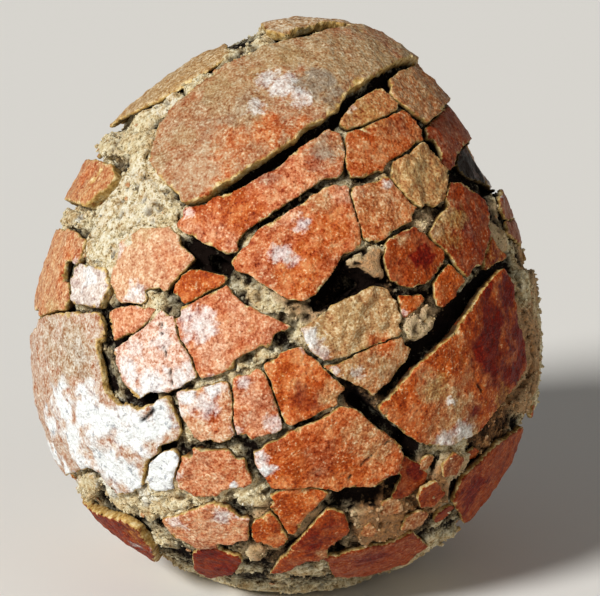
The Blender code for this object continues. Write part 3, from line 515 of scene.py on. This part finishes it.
def shattered(bm, seed):
    # breaks a hidden slab into shards along cracks that run through the egg's middle
    chance = np.random.default_rng(seed)
    shards = [bm]
    heart = Vector(centre / 1000)
    while len(shards) < shell["shards"]:
        shards.sort(key=lambda shard: shard.calc_volume())
        biggest = shards.pop()
        middle = sum((v.co for v in biggest.verts), Vector()) / len(biggest.verts) - heart
        farthest = max(biggest.verts, key=lambda v: (v.co - heart - middle).length).co - heart - middle
        across = (farthest - middle * farthest.dot(middle) / middle.length_squared).normalized()
        slant = middle.normalized().cross(across) * chance.uniform(-shell["cutSlant"], shell["cutSlant"])
        normal = (across + slant).normalized()
        at = heart + middle + across * chance.uniform(-shell["cutShiftMetres"], shell["cutShiftMetres"])
        for side in (1, -1):
            half = biggest.copy()
            geometry = half.verts[:] + half.edges[:] + half.faces[:]
            cut = bmesh.ops.bisect_plane(
                half, geom=geometry, plane_co=at + normal * side * shell["halfCrack"] / 1000,
                plane_no=normal * side, clear_inner=True,
            )
            rim = [item for item in cut["geom_cut"] if isinstance(item, bmesh.types.BMEdge)]
            bmesh.ops.holes_fill(half, edges=rim)
            shards.append(half)
        biggest.free()
    for shard in shards:
        middle = sum((v.co for v in shard.verts), Vector()) / len(shard.verts)
        axis = (middle - heart).cross(Vector(chance.normal(size=3)))
        turn = Matrix.Rotation(np.radians(chance.uniform(-1, 1) * shell["shardTilt"]), 3, axis)
        bmesh.ops.rotate(shard, verts=shard.verts, cent=middle, matrix=turn)
        lift = (middle - heart).normalized() * chance.uniform(-1, 0.8) * shell["shardLift"] / 1000
        bmesh.ops.translate(shard, verts=shard.verts, vec=lift)
    return shards


def allSlabs():
    # every plate of the front whole, and the plates of the hidden side in shards
    slabs = []
    for index, node in enumerate(plateNodes):
        plate, bm = node.removeprefix("plate_"), coarseCopy(node)
        parts = shattered(bm, index) if plate.startswith("back") else [bm]
        chance = np.random.default_rng(100 + index)
        for number, part in enumerate(parts):
            hidden = len(parts) > 1
            own = shardTones[chance.integers(len(shardTones))] if hidden else plateTones[plate]
            part.verts.index_update()
            slabs.append({
                "name": "shell_" + plate + (f"_{number + 1}" if hidden else ""), "node": node, "bm": part,
                "plate": plate, "hidden": hidden, "own": own,
                "vertices": [tuple(v.co) for v in part.verts],
                "polygons": [tuple(v.index for v in f.verts) for f in part.faces],
            })
    return slabs


def solidsOf(slabs):
    vertices, polygons = [], []
    for slab in slabs:
        base = len(vertices)
        vertices += slab["vertices"]
        polygons += [tuple(i + base for i in polygon) for polygon in slab["polygons"]]
    return BVHTree.FromPolygons(vertices, polygons)


# Hairlines in the front slabs, grooved and darkened near black with painted shade: corners on the sheet, and
# width
hairlines = [
    ([(64, -25), (68, -34), (66.5, -45)], 0.55), ([(-52, -41), (-48, -37)], 0.8),
    ([(20, -62), (27, -54), (35, -47)], 0.4), ([(-46, -7), (-43, -18), (-41, -28)], 0.35),
    ([(-62, -12), (-68, -22)], 0.4),
]


def grooveAt(points):
    groove = np.zeros(len(points))
    for corners, width in hairlines:
        shifted = points + 0.8 * np.stack([cloud(points, 4.0, seed) for seed in (71, 72, 73)], 1)
        away = fromLine(shifted, corners)
        groove = np.maximum(groove, ease01(1.3 - np.abs(away) / width))
    return groove


def makePlate(slab, slabs):
    hidden, plate = slab["hidden"], slab["plate"]
    others = solidsOf([other for other in slabs if other is not slab])
    piece = refined(slab["name"], slab["bm"], shell["hiddenVoxel"] if hidden else shell["frontVoxel"])
    mesh = piece.data
    points, normals = pointsOf(mesh), normalsOf(mesh)
    out = outwards(points)
    facing = (normals * out).sum(1)
    top = facing > shell["topFacing"]
    rim, tree, nearest, away = nearestRim(mesh, points, top)
    points = points + drawnTogether(others, points, out, top, rim, tree, nearest, away)
    tones = tonesAt(points, slab["own"])
    groove = grooveAt(points) * top if not hidden else np.zeros(len(points))

    # worn rim, chips out of it, then undulation, lumps and granules
    rise = -shell["wornEdge"] * np.exp(-away / shell["wornWidth"]) + shell["sunken"].get(plate, 0.0)
    chipped = ease01((cloud(points, 3.8, 5) - 0.28) * 3.5) * np.exp(-away / shell["chipWidth"])
    rise -= shell["chipDepth"] * chipped
    rise += clouds(points, relief["plate"])
    rise += tones["crust"] * shell["crustHeight"] * (0.4 + 0.9 * cloud(points, 2.2, 4))
    rise += plateRelief.get(plate, 0.0) * clouds(points, relief["roughPlate"])
    rise -= shell["grooveDepth"] * groove
    push = out * (rise * top)[:, None]

    worn = np.zeros(len(points))
    for radius, corners in () if hidden else wornEdges:
        worn = np.maximum(worn, ease01(1.5 - fromLine(points, corners) / radius))
    worn *= ease01(0.75 + 0.8 * cloud(points, 3.5, 61))
    push -= out * (shell["wornDepth"] * worn * top)[:, None]

    # broken faces: ragged, with the layers of the shell
    side = np.abs(facing) <= shell["topFacing"]
    push += normals * (clouds(points, relief["brokenFace"]) * side)[:, None]
    setPoints(mesh, warp(points + push))

    for tone, values in tones.items():
        paint(mesh, tone, values)
    paleEdge = plate in paleEdged
    bared = shell["rimShare"][paleEdge] * np.exp(-away / shell["bareWidth"]) + 0.8 * chipped
    paint(mesh, "broken", np.where(top, np.maximum(bared, worn), 1.0))
    # painted shade: a broken face darkens the farther it runs below the rim
    paint(mesh, "depth", np.where(top, 0.0, away / shell["faceWidth"][paleEdge]))
    # painted shade: near black in the hairline grooves and over the shadowed temple plate
    paint(mesh, "painted_shade", np.maximum(groove, slab["own"].get("painted_shade", 0.0)))
    mesh.materials.append(shellStone)
    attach(piece, "root")
    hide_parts(slab["node"])


# Filling between the plates
filling = {
    "voxel": 1.28,
    "raise": 3.4,
    "pitDepth": 1.3,
    "openDepth": 2.0,
    "stillHeight": 0.6,
    "stillEase": 3.0,
}
# Where it stands nearly as high as the plates: right, up, radius, strength
filledGaps = [
    (-58, 32, 20, 1.0), (-66, 20, 12, 0.9), (-44, 72, 8, 1.0), (-34, 79, 8, 1.0), (-52, 66, 7, 1.0),
    (74, 40, 4, 1.0), (-48, 50, 14, 1.0), (-45, -70, 13, 1.0), (-30, -69, 10, 0.8), (26, 15, 8, 1.0),
    (31, 18, 6, 1.0), (46, -8, 8, 0.8), (-8, 3, 8, 0.6), (4, -3, 5, 0.8), (-62, -68, 10, 0.9),
    (58, -58, 8, 0.7), (34, -76, 10, 0.8), (-14, -68, 8, 0.8), (48, 28, 5, 0.8), (84, -10, 22, 1.0),
    (-74, 4, 8, 0.7), (19, 61, 3, 0.5), (-48, 28, 10, 0.8), (-56, 44, 9, 0.9), (-56, 62, 6, 1.0),
    (42, 68, 5, 0.6), (-50, 60, 5, 1.0), (-16, 91, 5, 1.0), (-10, 95, 6, 0.9), (60, -52, 6, 0.8),
    (-2, -44, 3, 0.5), (-48, -32, 5, 0.4), (-64, -66, 8, 0.8), (-10, -76, 5, 0.7), (40, -82, 8, 0.8),
    (-39, 5, 4, 0.6), (16, -26, 4, 0.6), (-32, 34, 4, 0.7), (-57, -4, 4, 0.5),
]
# The first of them are crusted white
whiteGaps = filledGaps[:3]
pebblyGaps = [
    (-20, -24, 9, 0.55), (-32, -29, 8, 0.5), (-8, -19, 6, 0.55), (-4, -44, 8, 0.35), (14, -38, 6, 0.3),
]
# Where the silt turns a darker brown: right, up, radius, strength
brownGaps = [
    (10, 5, 16, 0.7), (30, 8, 12, 0.8), (74, -46, 15, 0.95), (56, -62, 13, 0.6), (76, -30, 14, 0.8),
    (40, -75, 24, 0.9), (82, -20, 24, 0.8), (84, 14, 16, 0.7), (50, 30, 14, 0.6), (70, 30, 18, 0.6),
    (0, -85, 20, 0.7), (28, -30, 12, 0.8), (10, -70, 10, 0.5), (50, -5, 12, 0.6), (30, 50, 14, 0.5),
]


def gapShare(points, rows):
    total = np.zeros(len(points))
    for right, up, radius, strength in rows:
        away = np.linalg.norm(points - spot(right, up), axis=1) / radius
        away = away + 0.25 * cloud(points, 6.0, 36)
        total = np.maximum(total, strength * ease01((1.2 - away) * 2))
    return total


def makeFilling():
    piece = refined("sediment_filling", coarseCopy("sediment_core"), filling["voxel"])
    mesh = piece.data
    points, normals = pointsOf(mesh), normalsOf(mesh)
    out, level = outwards(points), heightAbove(points)
    facing = (normals * out).sum(1)
    hidden = hiddenSide(points)
    opened = openShare(points)
    pebbly = np.maximum(gapShare(points, pebblyGaps), 0.8 * seamShare(points))
    wandering = ease01(0.22 + 0.45 * hidden + 0.6 * cloud(points, 9, 31))
    filled = np.maximum(np.maximum(gapShare(points, filledGaps), pebbly), wandering) * (1 - opened)
    # it stands up between the plates where the bed lies bare, and stays level on the ledges
    bare = ease01((-level - 1.0) / 2.0) * ease01((facing - 0.2) * 3)
    swell = bare * filled * np.minimum(filling["raise"], -level - 0.4) * (0.9 + 0.3 * cloud(points, 3.5, 32))
    lumps = clouds(points, relief["silt"])
    hollow = ease01((clouds(points, relief["siltPits"]) - 0.32 + 0.3 * pebbly) * 4)
    pits = -filling["pitDepth"] * hollow
    aboveFloor = points[:, 2] + egg["centreHeight"]
    offFloor = ease01((aboveFloor - filling["stillHeight"]) / filling["stillEase"])
    sunk = opened * bare * filling["openDepth"]
    push = normals * ((lumps + pits) * offFloor)[:, None] + out * ((swell - sunk) * offFloor)[:, None]
    moved = np.where(offFloor[:, None] < 0.01, points, warp(points + push))
    moved[:, 2] = np.maximum(moved[:, 2], -egg["centreHeight"])
    setPoints(mesh, moved)

    after = heightAbove(moved)
    # painted shade: the silt darkens the deeper it lies, less where it is packed high, and turns black deep
    # in the open cracks
    shade = ease01((-after - 0.8) / 4.2) * (1 - 0.35 * filled)
    paint(mesh, "depth", np.maximum(shade, opened * (after < -1.5)))
    paint(mesh, "crust", np.maximum(stainAt(points, "crust"), 0.45 * gapShare(points, whiteGaps)))
    # painted shade in the pits
    paint(mesh, "pit_shade", hollow)
    # darker brown at the listed places, over the hidden side and faintly all over
    brown = np.maximum(gapShare(points, brownGaps), hidden * ease01(0.3 + 0.9 * cloud(points, 16, 37)))
    paint(mesh, "brown", np.maximum(brown, 0.25 * ease01(0.5 + cloud(points, 12, 37))))
    mesh.materials.append(sedimentStone)
    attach(piece, "root")
    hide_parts("sediment_core")
    return piece


# Grit and small chips of shell caught between the plates
grit = {
    "count": 5200,
    "smallest": 0.22,
    "largest": 0.95,
    "deepest": 4.5,
    "lowest": 4,
    "chipShare": 0.02,
    "chipStretch": (1.5, 1.2, 0.5),
    "batch": 120,
    "seed": 8,
}


def covered(cover, place, away, below):
    # whether a plate lies over a place, looking outwards from a little below it (in metres)
    return cover.ray_cast(place - away * below, away, 0.02)[0] is not None


def makeGrit(fillingPiece, slabs):
    chance = np.random.default_rng(grit["seed"])
    points = pointsOf(fillingPiece.data)
    out, level, opened = outwards(points), heightAbove(points), openShare(points)
    cover = solidsOf(slabs)
    whole = {kind: bmesh.new() for kind in ("grit", "chips")}
    batch = {kind: bmesh.new() for kind in whole}
    made = 0
    for index in chance.permutation(len(points)):
        if made >= grit["count"]:
            break
        if points[index, 2] + egg["centreHeight"] < grit["lowest"] or level[index] < -grit["deepest"]:
            continue
        if chance.random() < opened[index]:
            continue
        at = Vector((points[index] + centre) / 1000)
        away = Vector(out[index])
        if covered(cover, at, away, 0.002):
            continue
        size = grit["smallest"] + (grit["largest"] - grit["smallest"]) * chance.random() ** 2.6
        kind = "chips" if chance.random() < grit["chipShare"] else "grit"
        grain = bmesh.ops.create_icosphere(batch[kind], subdivisions=1, radius=size / 1000)["verts"]
        stretch = Vector(chance.uniform(0.6, 1.2, 3))
        if kind == "chips":
            stretch = Vector(grit["chipStretch"])
        for vert in grain:
            vert.co = vert.co * chance.uniform(0.7, 1.2)
            vert.co = Vector((vert.co.x * stretch.x, vert.co.y * stretch.y, vert.co.z * stretch.z))
        stand = away.to_track_quat("Z", "Y").to_matrix().to_4x4()
        bmesh.ops.transform(batch[kind], verts=grain, matrix=stand)
        bmesh.ops.translate(batch[kind], verts=grain, vec=at + away * size * 0.0003)
        made += 1
        if made % grit["batch"] == 0:
            for name in whole:
                emptied(batch[name], whole[name])
    for kind, slot, stone in (("grit", "sediment", sedimentStone), ("chips", "shell", shellStone)):
        emptied(batch[kind], whole[kind])
        mesh = meshOf("loose_" + kind, whole[kind])
        batch[kind].free()
        piece = objectOf("loose_" + kind, mesh)
        spots = pointsOf(mesh)
        for tone, values in tonesAt(spots, {"pale": 0.6, "rosy": 0.4}).items():
            paint(mesh, tone, values)
        # painted shade: grains darken the deeper they lie
        paint(mesh, "depth", ease01((-heightAbove(spots) - 1.0) / 4.0))
        paint(mesh, "brown", gapShare(spots, brownGaps) * 0.8)
        mesh.materials.append(stone)
        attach(piece, "root")
    print("grit:", made)


def emptied(source, target):
    # moves a small batch of grains over, because bmesh operators slow down in a big one
    mesh = bpy.data.meshes.new("batch")
    source.to_mesh(mesh)
    target.from_mesh(mesh)
    bpy.data.meshes.remove(mesh)
    source.clear()


# Broken bits of shell lying in the bare sediment of the hidden side
chips = {
    "count": 46,
    "smallest": 2.2,
    "largest": 6.5,
    "thickness": 1.7,
    "sunk": 0.9,
    "tilt": 14,
    "lowest": -80,
    "deepest": 5,
    "spacing": 1.15,
    "clearing": 0.9,
    "frontSpacing": 0.7,
    "frontClearing": 0.4,
    "voxel": 0.55,
    "seed": 21,
}
# Bigger ones set in the silt at the lower right: right, up, size and tones
frontChips = [
    (56, -57, 5.5, {"deep": 0.5, "pale": 0.2}), (50, -66, 6.5, {"deep": 0.6}),
    (60, -64, 5.0, {"deep": 0.35, "pale": 0.3}), (44, -76, 6.0, {"deep": 0.4, "pale": 0.4}),
    (54, -76, 6.0, {"deep": 0.7}), (36, -72, 4.5, {"pale": 0.5, "deep": 0.3}),
    (66, -53, 4.2, {"deep": 0.5}), (49, -55, 3.6, {"pale": 0.4}),
    (64, -74, 4.5, {"deep": 0.7, "grey": 0.2}), (42, -86, 5.0, {"deep": 0.6, "grey": 0.3}),
    (28, -80, 3.6, {"pale": 0.5}), (84, -36, 4.0, {"deep": 0.5}),
]


def makeChips(fillingPiece, slabs):
    chance = np.random.default_rng(chips["seed"])
    cover = solidsOf(slabs)
    points = pointsOf(fillingPiece.data)
    out, level, hidden = outwards(points), heightAbove(points), hiddenSide(points)
    bm = bmesh.new()
    placed, picked = [], []
    order = [(int(np.argmin(np.linalg.norm(points - spot(a, b), axis=1))), size, own)
             for a, b, size, own in frontChips]
    order += [(index, None, None) for index in chance.permutation(len(points))]
    for index, size, own in order:
        if len(placed) >= chips["count"]:
            break
        spacing, clearing = chips["frontSpacing"], chips["frontClearing"]
        if size is None:
            if hidden[index] < 0.5 or points[index, 2] < chips["lowest"] or level[index] < -chips["deepest"]:
                continue
            spacing, clearing = chips["spacing"], chips["clearing"]
            size = chips["smallest"] + (chips["largest"] - chips["smallest"]) * chance.random() ** 1.5
            own = shardTones[chance.integers(len(shardTones))]
        if any(np.linalg.norm(points[index] - p) < spacing * (size + s) for p, s in placed):
            continue
        at, away = Vector((points[index] + centre) / 1000), Vector(out[index])
        flat = away.orthogonal().normalized()
        turns = [Matrix.Rotation(step * np.pi / 3, 3, away) @ flat for step in range(6)]
        if any(covered(cover, at + turn * size * clearing / 1000, away, 0.003) for turn in turns):
            continue
        sides = int(chance.integers(5, 8))
        disc = bmesh.ops.create_circle(bm, cap_ends=True, segments=sides, radius=size / 1000)
        corners = disc["verts"]
        for vert in corners:
            vert.co *= chance.uniform(0.62, 1.1)
        grown = bmesh.ops.extrude_face_region(bm, geom=list(corners[0].link_faces))["geom"]
        upper = [item for item in grown if isinstance(item, bmesh.types.BMVert)]
        bmesh.ops.translate(bm, verts=upper, vec=(0, 0, chips["thickness"] * chance.uniform(0.8, 1.1) / 1000))
        tilt = Matrix.Rotation(np.radians(chance.uniform(-chips["tilt"], chips["tilt"])), 4, "X")
        stand = away.to_track_quat("Z", "Y").to_matrix().to_4x4() @ tilt
        bmesh.ops.transform(bm, verts=corners + upper, matrix=stand)
        bmesh.ops.translate(bm, verts=corners + upper, vec=at - away * chips["sunk"] / 1000)
        placed.append((points[index], size))
        picked.append(own)
    bmesh.ops.recalc_face_normals(bm, faces=bm.faces)
    piece = refined("shell_chips", bm, chips["voxel"])
    mesh = piece.data
    points, normals = pointsOf(mesh), normalsOf(mesh)
    facing = (normals * outwards(points)).sum(1)
    top = facing > 0.6
    setPoints(mesh, warp(points + normals * clouds(points, relief["chip"])[:, None]))
    which = np.argmin([np.linalg.norm(points - p, axis=1) for p, _ in placed], axis=0)
    for tone, values in tonesAt(points).items():
        own = np.array([p.get(tone, 0.0) for p in picked])[which]
        paint(mesh, tone, np.maximum(0.6 * values, own))
    paint(mesh, "broken", np.where(top, 0.0, 1.0))
    # painted shade: the sides of the chips a little darker
    paint(mesh, "depth", np.where(top, 0.0, 0.25))
    mesh.materials.append(shellStone)
    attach(piece, "root")
    print("chips:", len(placed))


def linear(code):
    parts = [int(code[i:i + 2], 16) / 255 for i in (0, 2, 4)]
    return tuple([p / 12.92 if p <= 0.04045 else ((p + 0.055) / 1.055) ** 2.4 for p in parts] + [1.0])


def add(tree, kind, links=None, **settings):
    made = tree.nodes.new(kind)
    for name, value in settings.items():
        setattr(made, name, value)
    for socket, source in (links or {}).items():
        if isinstance(source, bpy.types.NodeSocket):
            tree.links.new(source, made.inputs[socket])
        else:
            made.inputs[socket].default_value = source
    return made


def grains(tree, size, detail=4.0, roughness=0.6):
    # noise with one patch about every size millimetres
    return add(tree, "ShaderNodeTexNoise", {
        "Vector": tree.nodes["place"].outputs["Object"], "Scale": 1000 / size, "Detail": detail,
        "Roughness": roughness,
    }).outputs["Fac"]


def spread(tree, value, low, high, first=0.0, last=1.0):
    return add(tree, "ShaderNodeMapRange", {
        "Value": value, "From Min": low, "From Max": high, "To Min": first, "To Max": last,
    }).outputs["Result"]


def reckon(tree, operation, first, second):
    return add(tree, "ShaderNodeMath", {0: first, 1: second}, operation=operation).outputs[0]


def painted(tree, name):
    return add(tree, "ShaderNodeAttribute", attribute_name=name).outputs["Fac"]


def ragged(tree, name, noise, low=0.36, high=0.62, looseness=2.2):
    # a painted patch with a speckled, granular edge
    share = painted(tree, name)
    loose = reckon(tree, "MULTIPLY", reckon(tree, "SUBTRACT", noise, 0.5), looseness)
    loose = reckon(tree, "MULTIPLY", loose, spread(tree, share, 0.0, 0.25))
    return spread(tree, reckon(tree, "ADD", share, loose), low, high)


def laid(tree, share, under, over, blend="MIX"):
    over = linear(over) if isinstance(over, str) else over
    return add(tree, "ShaderNodeMix", {0: share, 6: under, 7: over}, data_type="RGBA",
               blend_type=blend).outputs[2]


def ramp(tree, value, stops):
    made = add(tree, "ShaderNodeValToRGB", {"Fac": value})
    bar = made.color_ramp.elements
    for position, code in stops[2:]:
        bar.new(position)
    for element, (position, code) in zip(sorted(bar, key=lambda e: e.position), sorted(stops)):
        element.position, element.color = position, linear(code)
    return made.outputs["Color"]


def newStone(name):
    stone = bpy.data.materials.new(name)
    stone.use_nodes = True
    tree = stone.node_tree
    add(tree, "ShaderNodeTexCoord", name="place")
    return stone, tree, tree.nodes["Principled BSDF"]


# Calcite eggshell stained by iron: close granules, a faint gloss, pale mineral crust, cream broken faces that
# darken downwards with painted shade, and painted shade in the hairline grooves
def eggshellCalcite():
    stone, tree, shader = newStone("eggshell calcite")
    mottle, medium, fine = grains(tree, 8.0, 5), grains(tree, 2.4, 5, 0.65), grains(tree, 0.8, 3, 0.6)
    speckle = reckon(tree, "ADD", reckon(tree, "MULTIPLY", medium, 0.5), reckon(tree, "MULTIPLY", fine, 0.5))
    cells = add(tree, "ShaderNodeTexVoronoi", {
        "Vector": tree.nodes["place"].outputs["Object"], "Scale": 1000 / 1.15,
    })
    granule = spread(tree, cells.outputs["Distance"], 0.0, 0.75, 1.0, 0.0)
    colour = ramp(tree, speckle, [(0.36, "802a06"), (0.64, "e39b58"), (0.45, "b34b10"), (0.55, "cf6a24")])
    patches = ramp(tree, mottle, [(0.36, "b89c8c"), (0.60, "ffffff"), (0.5, "f0e6dc")])
    colour = laid(tree, 0.7, colour, patches, "MULTIPLY")
    film = reckon(tree, "MULTIPLY", spread(tree, mottle, 0.45, 0.65), spread(tree, medium, 0.38, 0.62))
    colour = laid(tree, reckon(tree, "MULTIPLY", film, 0.7), colour, "d3a06c")
    deep = ragged(tree, "deep", mottle, 0.15, 0.90, 1.4)
    colour = laid(tree, deep, colour,
                  ramp(tree, speckle, [(0.36, "430600"), (0.66, "942c05"), (0.5, "6c1001")]))
    colour = laid(tree, ragged(tree, "rosy", speckle, 0.05, 1.05, 1.5), colour,
                  ramp(tree, speckle, [(0.36, "b06a42"), (0.62, "f2d6b8"), (0.5, "dda884")]))
    colour = laid(tree, ragged(tree, "pale", speckle, 0.05, 1.0, 1.5), colour,
                  ramp(tree, speckle, [(0.36, "7f5c36"), (0.62, "dcc69c"), (0.5, "b59260")]))
    colour = laid(tree, ragged(tree, "ochre", speckle, 0.20, 1.0, 1.6), colour,
                  ramp(tree, speckle, [(0.36, "6b4312"), (0.62, "c59b4e")]))
    colour = laid(tree, ragged(tree, "grey", speckle, 0.20, 1.0, 1.6), colour,
                  ramp(tree, speckle, [(0.36, "493d31"), (0.62, "a59581")]))
    clean = spread(tree, deep, 0.0, 0.7, 1.0, 0.08)
    glint = reckon(tree, "MULTIPLY", spread(tree, fine, 0.58, 0.72, 0.0, 0.9),
                   spread(tree, medium, 0.42, 0.62, 0.1, 1.0))
    colour = laid(tree, reckon(tree, "MULTIPLY", clean, glint), colour, "f0d8b4")
    colour = laid(tree, spread(tree, fine, 0.38, 0.28, 0.0, 0.5), colour, "3a160a")
    crust = ragged(tree, "crust", speckle, 0.12, 0.92, 1.5)
    mineral = ramp(tree, speckle, [(0.34, "a6a9ab"), (0.56, "eff1ef"), (0.44, "d9dbd8")])
    mineral = laid(tree, spread(tree, medium, 0.42, 0.36, 0.0, 0.7), mineral, "939ba3")
    colour = laid(tree, crust, colour, mineral)
    broken = ragged(tree, "broken", medium, 0.35, 0.85)
    face = ramp(tree, medium, [(0.33, "85602a"), (0.68, "ead7a4"), (0.5, "c39d58")])
    # painted shade: broken faces darken downwards to near black
    face = laid(tree, spread(tree, painted(tree, "depth"), 0.0, 0.8, 0.0, 0.94), face, "26100a")
    colour = laid(tree, broken, colour, face)
    # painted shade: near black in the hairline grooves and over the shadowed temple plate
    colour = laid(tree, painted(tree, "painted_shade"), colour, "0e0806")
    tree.links.new(colour, shader.inputs["Base Color"])
    rough = spread(tree, crust, 0.0, 1.0, 0.50, 0.90)
    tree.links.new(reckon(tree, "ADD", rough, spread(tree, fine, 0.3, 0.7, -0.08, 0.10)),
                   shader.inputs["Roughness"])
    shader.inputs["IOR"].default_value = 1.5
    shader.inputs["Specular IOR Level"].default_value = 0.11
    height = reckon(tree, "ADD", reckon(tree, "MULTIPLY", granule, 0.6), fine)
    bump = add(tree, "ShaderNodeBump", {"Strength": 0.9, "Distance": 0.0004, "Height": height})
    tree.links.new(bump.outputs[0], shader.inputs["Normal"])
    return stone


# Hardened silt and fine sand: matte and pitted, cream, with painted shade that darkens it in the pits and to
# near black deep in the cracks
def hardenedSilt():
    stone, tree, shader = newStone("hardened silt")
    coarse, medium, fine = grains(tree, 6.0, 5), grains(tree, 2.2, 6, 0.65), grains(tree, 0.8, 3)
    speckle = reckon(tree, "ADD", reckon(tree, "MULTIPLY", medium, 0.65),
                     reckon(tree, "MULTIPLY", fine, 0.35))
    colour = ramp(tree, speckle, [(0.36, "8c6538"), (0.60, "f6edcd"), (0.48, "dcc89a")])
    colour = laid(tree, spread(tree, coarse, 0.5, 0.64, 0.0, 0.5), colour, "c69f6a")
    # darker brown patches
    colour = laid(tree, ragged(tree, "brown", speckle, 0.35, 1.0), colour,
                  ramp(tree, speckle, [(0.38, "4a2009"), (0.60, "cf9c66"), (0.48, "8f5228")]))
    colour = laid(tree, ragged(tree, "crust", speckle, 0.30, 0.85), colour, "f5f1df")
    colour = laid(tree, spread(tree, fine, 0.40, 0.30, 0.0, 0.7), colour, "3a2412")
    # painted shade in the pits
    colour = laid(tree, reckon(tree, "MULTIPLY", painted(tree, "pit_shade"), 0.7), colour, "40280f")
    # painted shade: near black deep in the cracks, with a speckled edge
    loose = reckon(tree, "MULTIPLY", reckon(tree, "SUBTRACT", speckle, 0.5), -1.2)
    colour = laid(tree, spread(tree, reckon(tree, "ADD", painted(tree, "depth"), loose), 0.25, 0.9), colour,
                  "150b06")
    tree.links.new(colour, shader.inputs["Base Color"])
    shader.inputs["Roughness"].default_value = 0.93
    shader.inputs["Specular IOR Level"].default_value = 0.1
    height = reckon(tree, "ADD", medium, reckon(tree, "MULTIPLY", fine, 0.8))
    bump = add(tree, "ShaderNodeBump", {"Strength": 1.0, "Distance": 0.0012, "Height": height})
    tree.links.new(bump.outputs[0], shader.inputs["Normal"])
    return stone


shellStone = eggshellCalcite()
sedimentStone = hardenedSilt()
plateNodes = sorted(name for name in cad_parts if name.startswith("plate_"))
slabs = allSlabs()
for slab in slabs:
    makePlate(slab, slabs)
print("plates and shards:", len(slabs))
fillingPiece = makeFilling()
makeGrit(fillingPiece, slabs)
makeChips(fillingPiece, slabs)

# Studio: pale floor, a soft key from the upper left, a weak fill from the right
studio = {
    "floorSize": 24.0, "floor": "e6e3dc", "world": "e8e8e8", "worldLight": 0.20,
    "keyStrength": 3.65, "keySoftness": 14.0, "keyTurn": -44.0, "keyHeight": 36.0,
    "fillStrength": 0.25, "fillSoftness": 60.0, "fillTurn": 55.0, "fillHeight": 20.0,
}


def makeFloor():
    bm = bmesh.new()
    bmesh.ops.create_grid(bm, x_segments=1, y_segments=1, size=studio["floorSize"] / 2)
    mesh = meshOf("floor", bm)
    floor = objectOf("floor", mesh)
    paper, _, shader = newStone("pale paper")
    shader.inputs["Base Color"].default_value = linear(studio["floor"])
    shader.inputs["Roughness"].default_value = 0.9
    mesh.materials.append(paper)


def lamp(name, strength, softness, turn, height):
    # a far soft lamp, turn degrees right of the front and height degrees up
    light = bpy.data.lights.new(name, "SUN")
    light.energy, light.angle = strength, np.radians(softness)
    made = objectOf(name, light)
    turn, height = np.radians(turn), np.radians(height)
    towards = Vector((np.sin(turn) * np.cos(height), -np.cos(turn) * np.cos(height), np.sin(height)))
    made.rotation_euler = towards.to_track_quat("Z", "Y").to_euler()


def makeCamera():
    data = bpy.data.cameras.new("camera")
    data.sensor_width = eye["sensorWidth"]
    data.lens = data.sensor_width * eye["distance"] / eye["frameWidth"]
    data.shift_x, data.shift_y = eye["shiftX"], eye["shiftY"]
    camera = objectOf("camera", data)
    camera.location = (centre + toEye * eye["distance"]) / 1000
    camera.rotation_euler = (np.pi / 2 - elevation, 0.0, 0.0)
    bpy.context.scene.camera = camera


makeFloor()
lamp("key", studio["keyStrength"], studio["keySoftness"], studio["keyTurn"], studio["keyHeight"])
lamp("fill", studio["fillStrength"], studio["fillSoftness"], studio["fillTurn"], studio["fillHeight"])
world = bpy.data.worlds.new("studio")
world.use_nodes = True
world.node_tree.nodes["Background"].inputs["Color"].default_value = linear(studio["world"])
world.node_tree.nodes["Background"].inputs["Strength"].default_value = studio["worldLight"]
bpy.context.scene.world = world
bpy.context.scene.view_settings.view_transform = "Standard"
makeCamera()
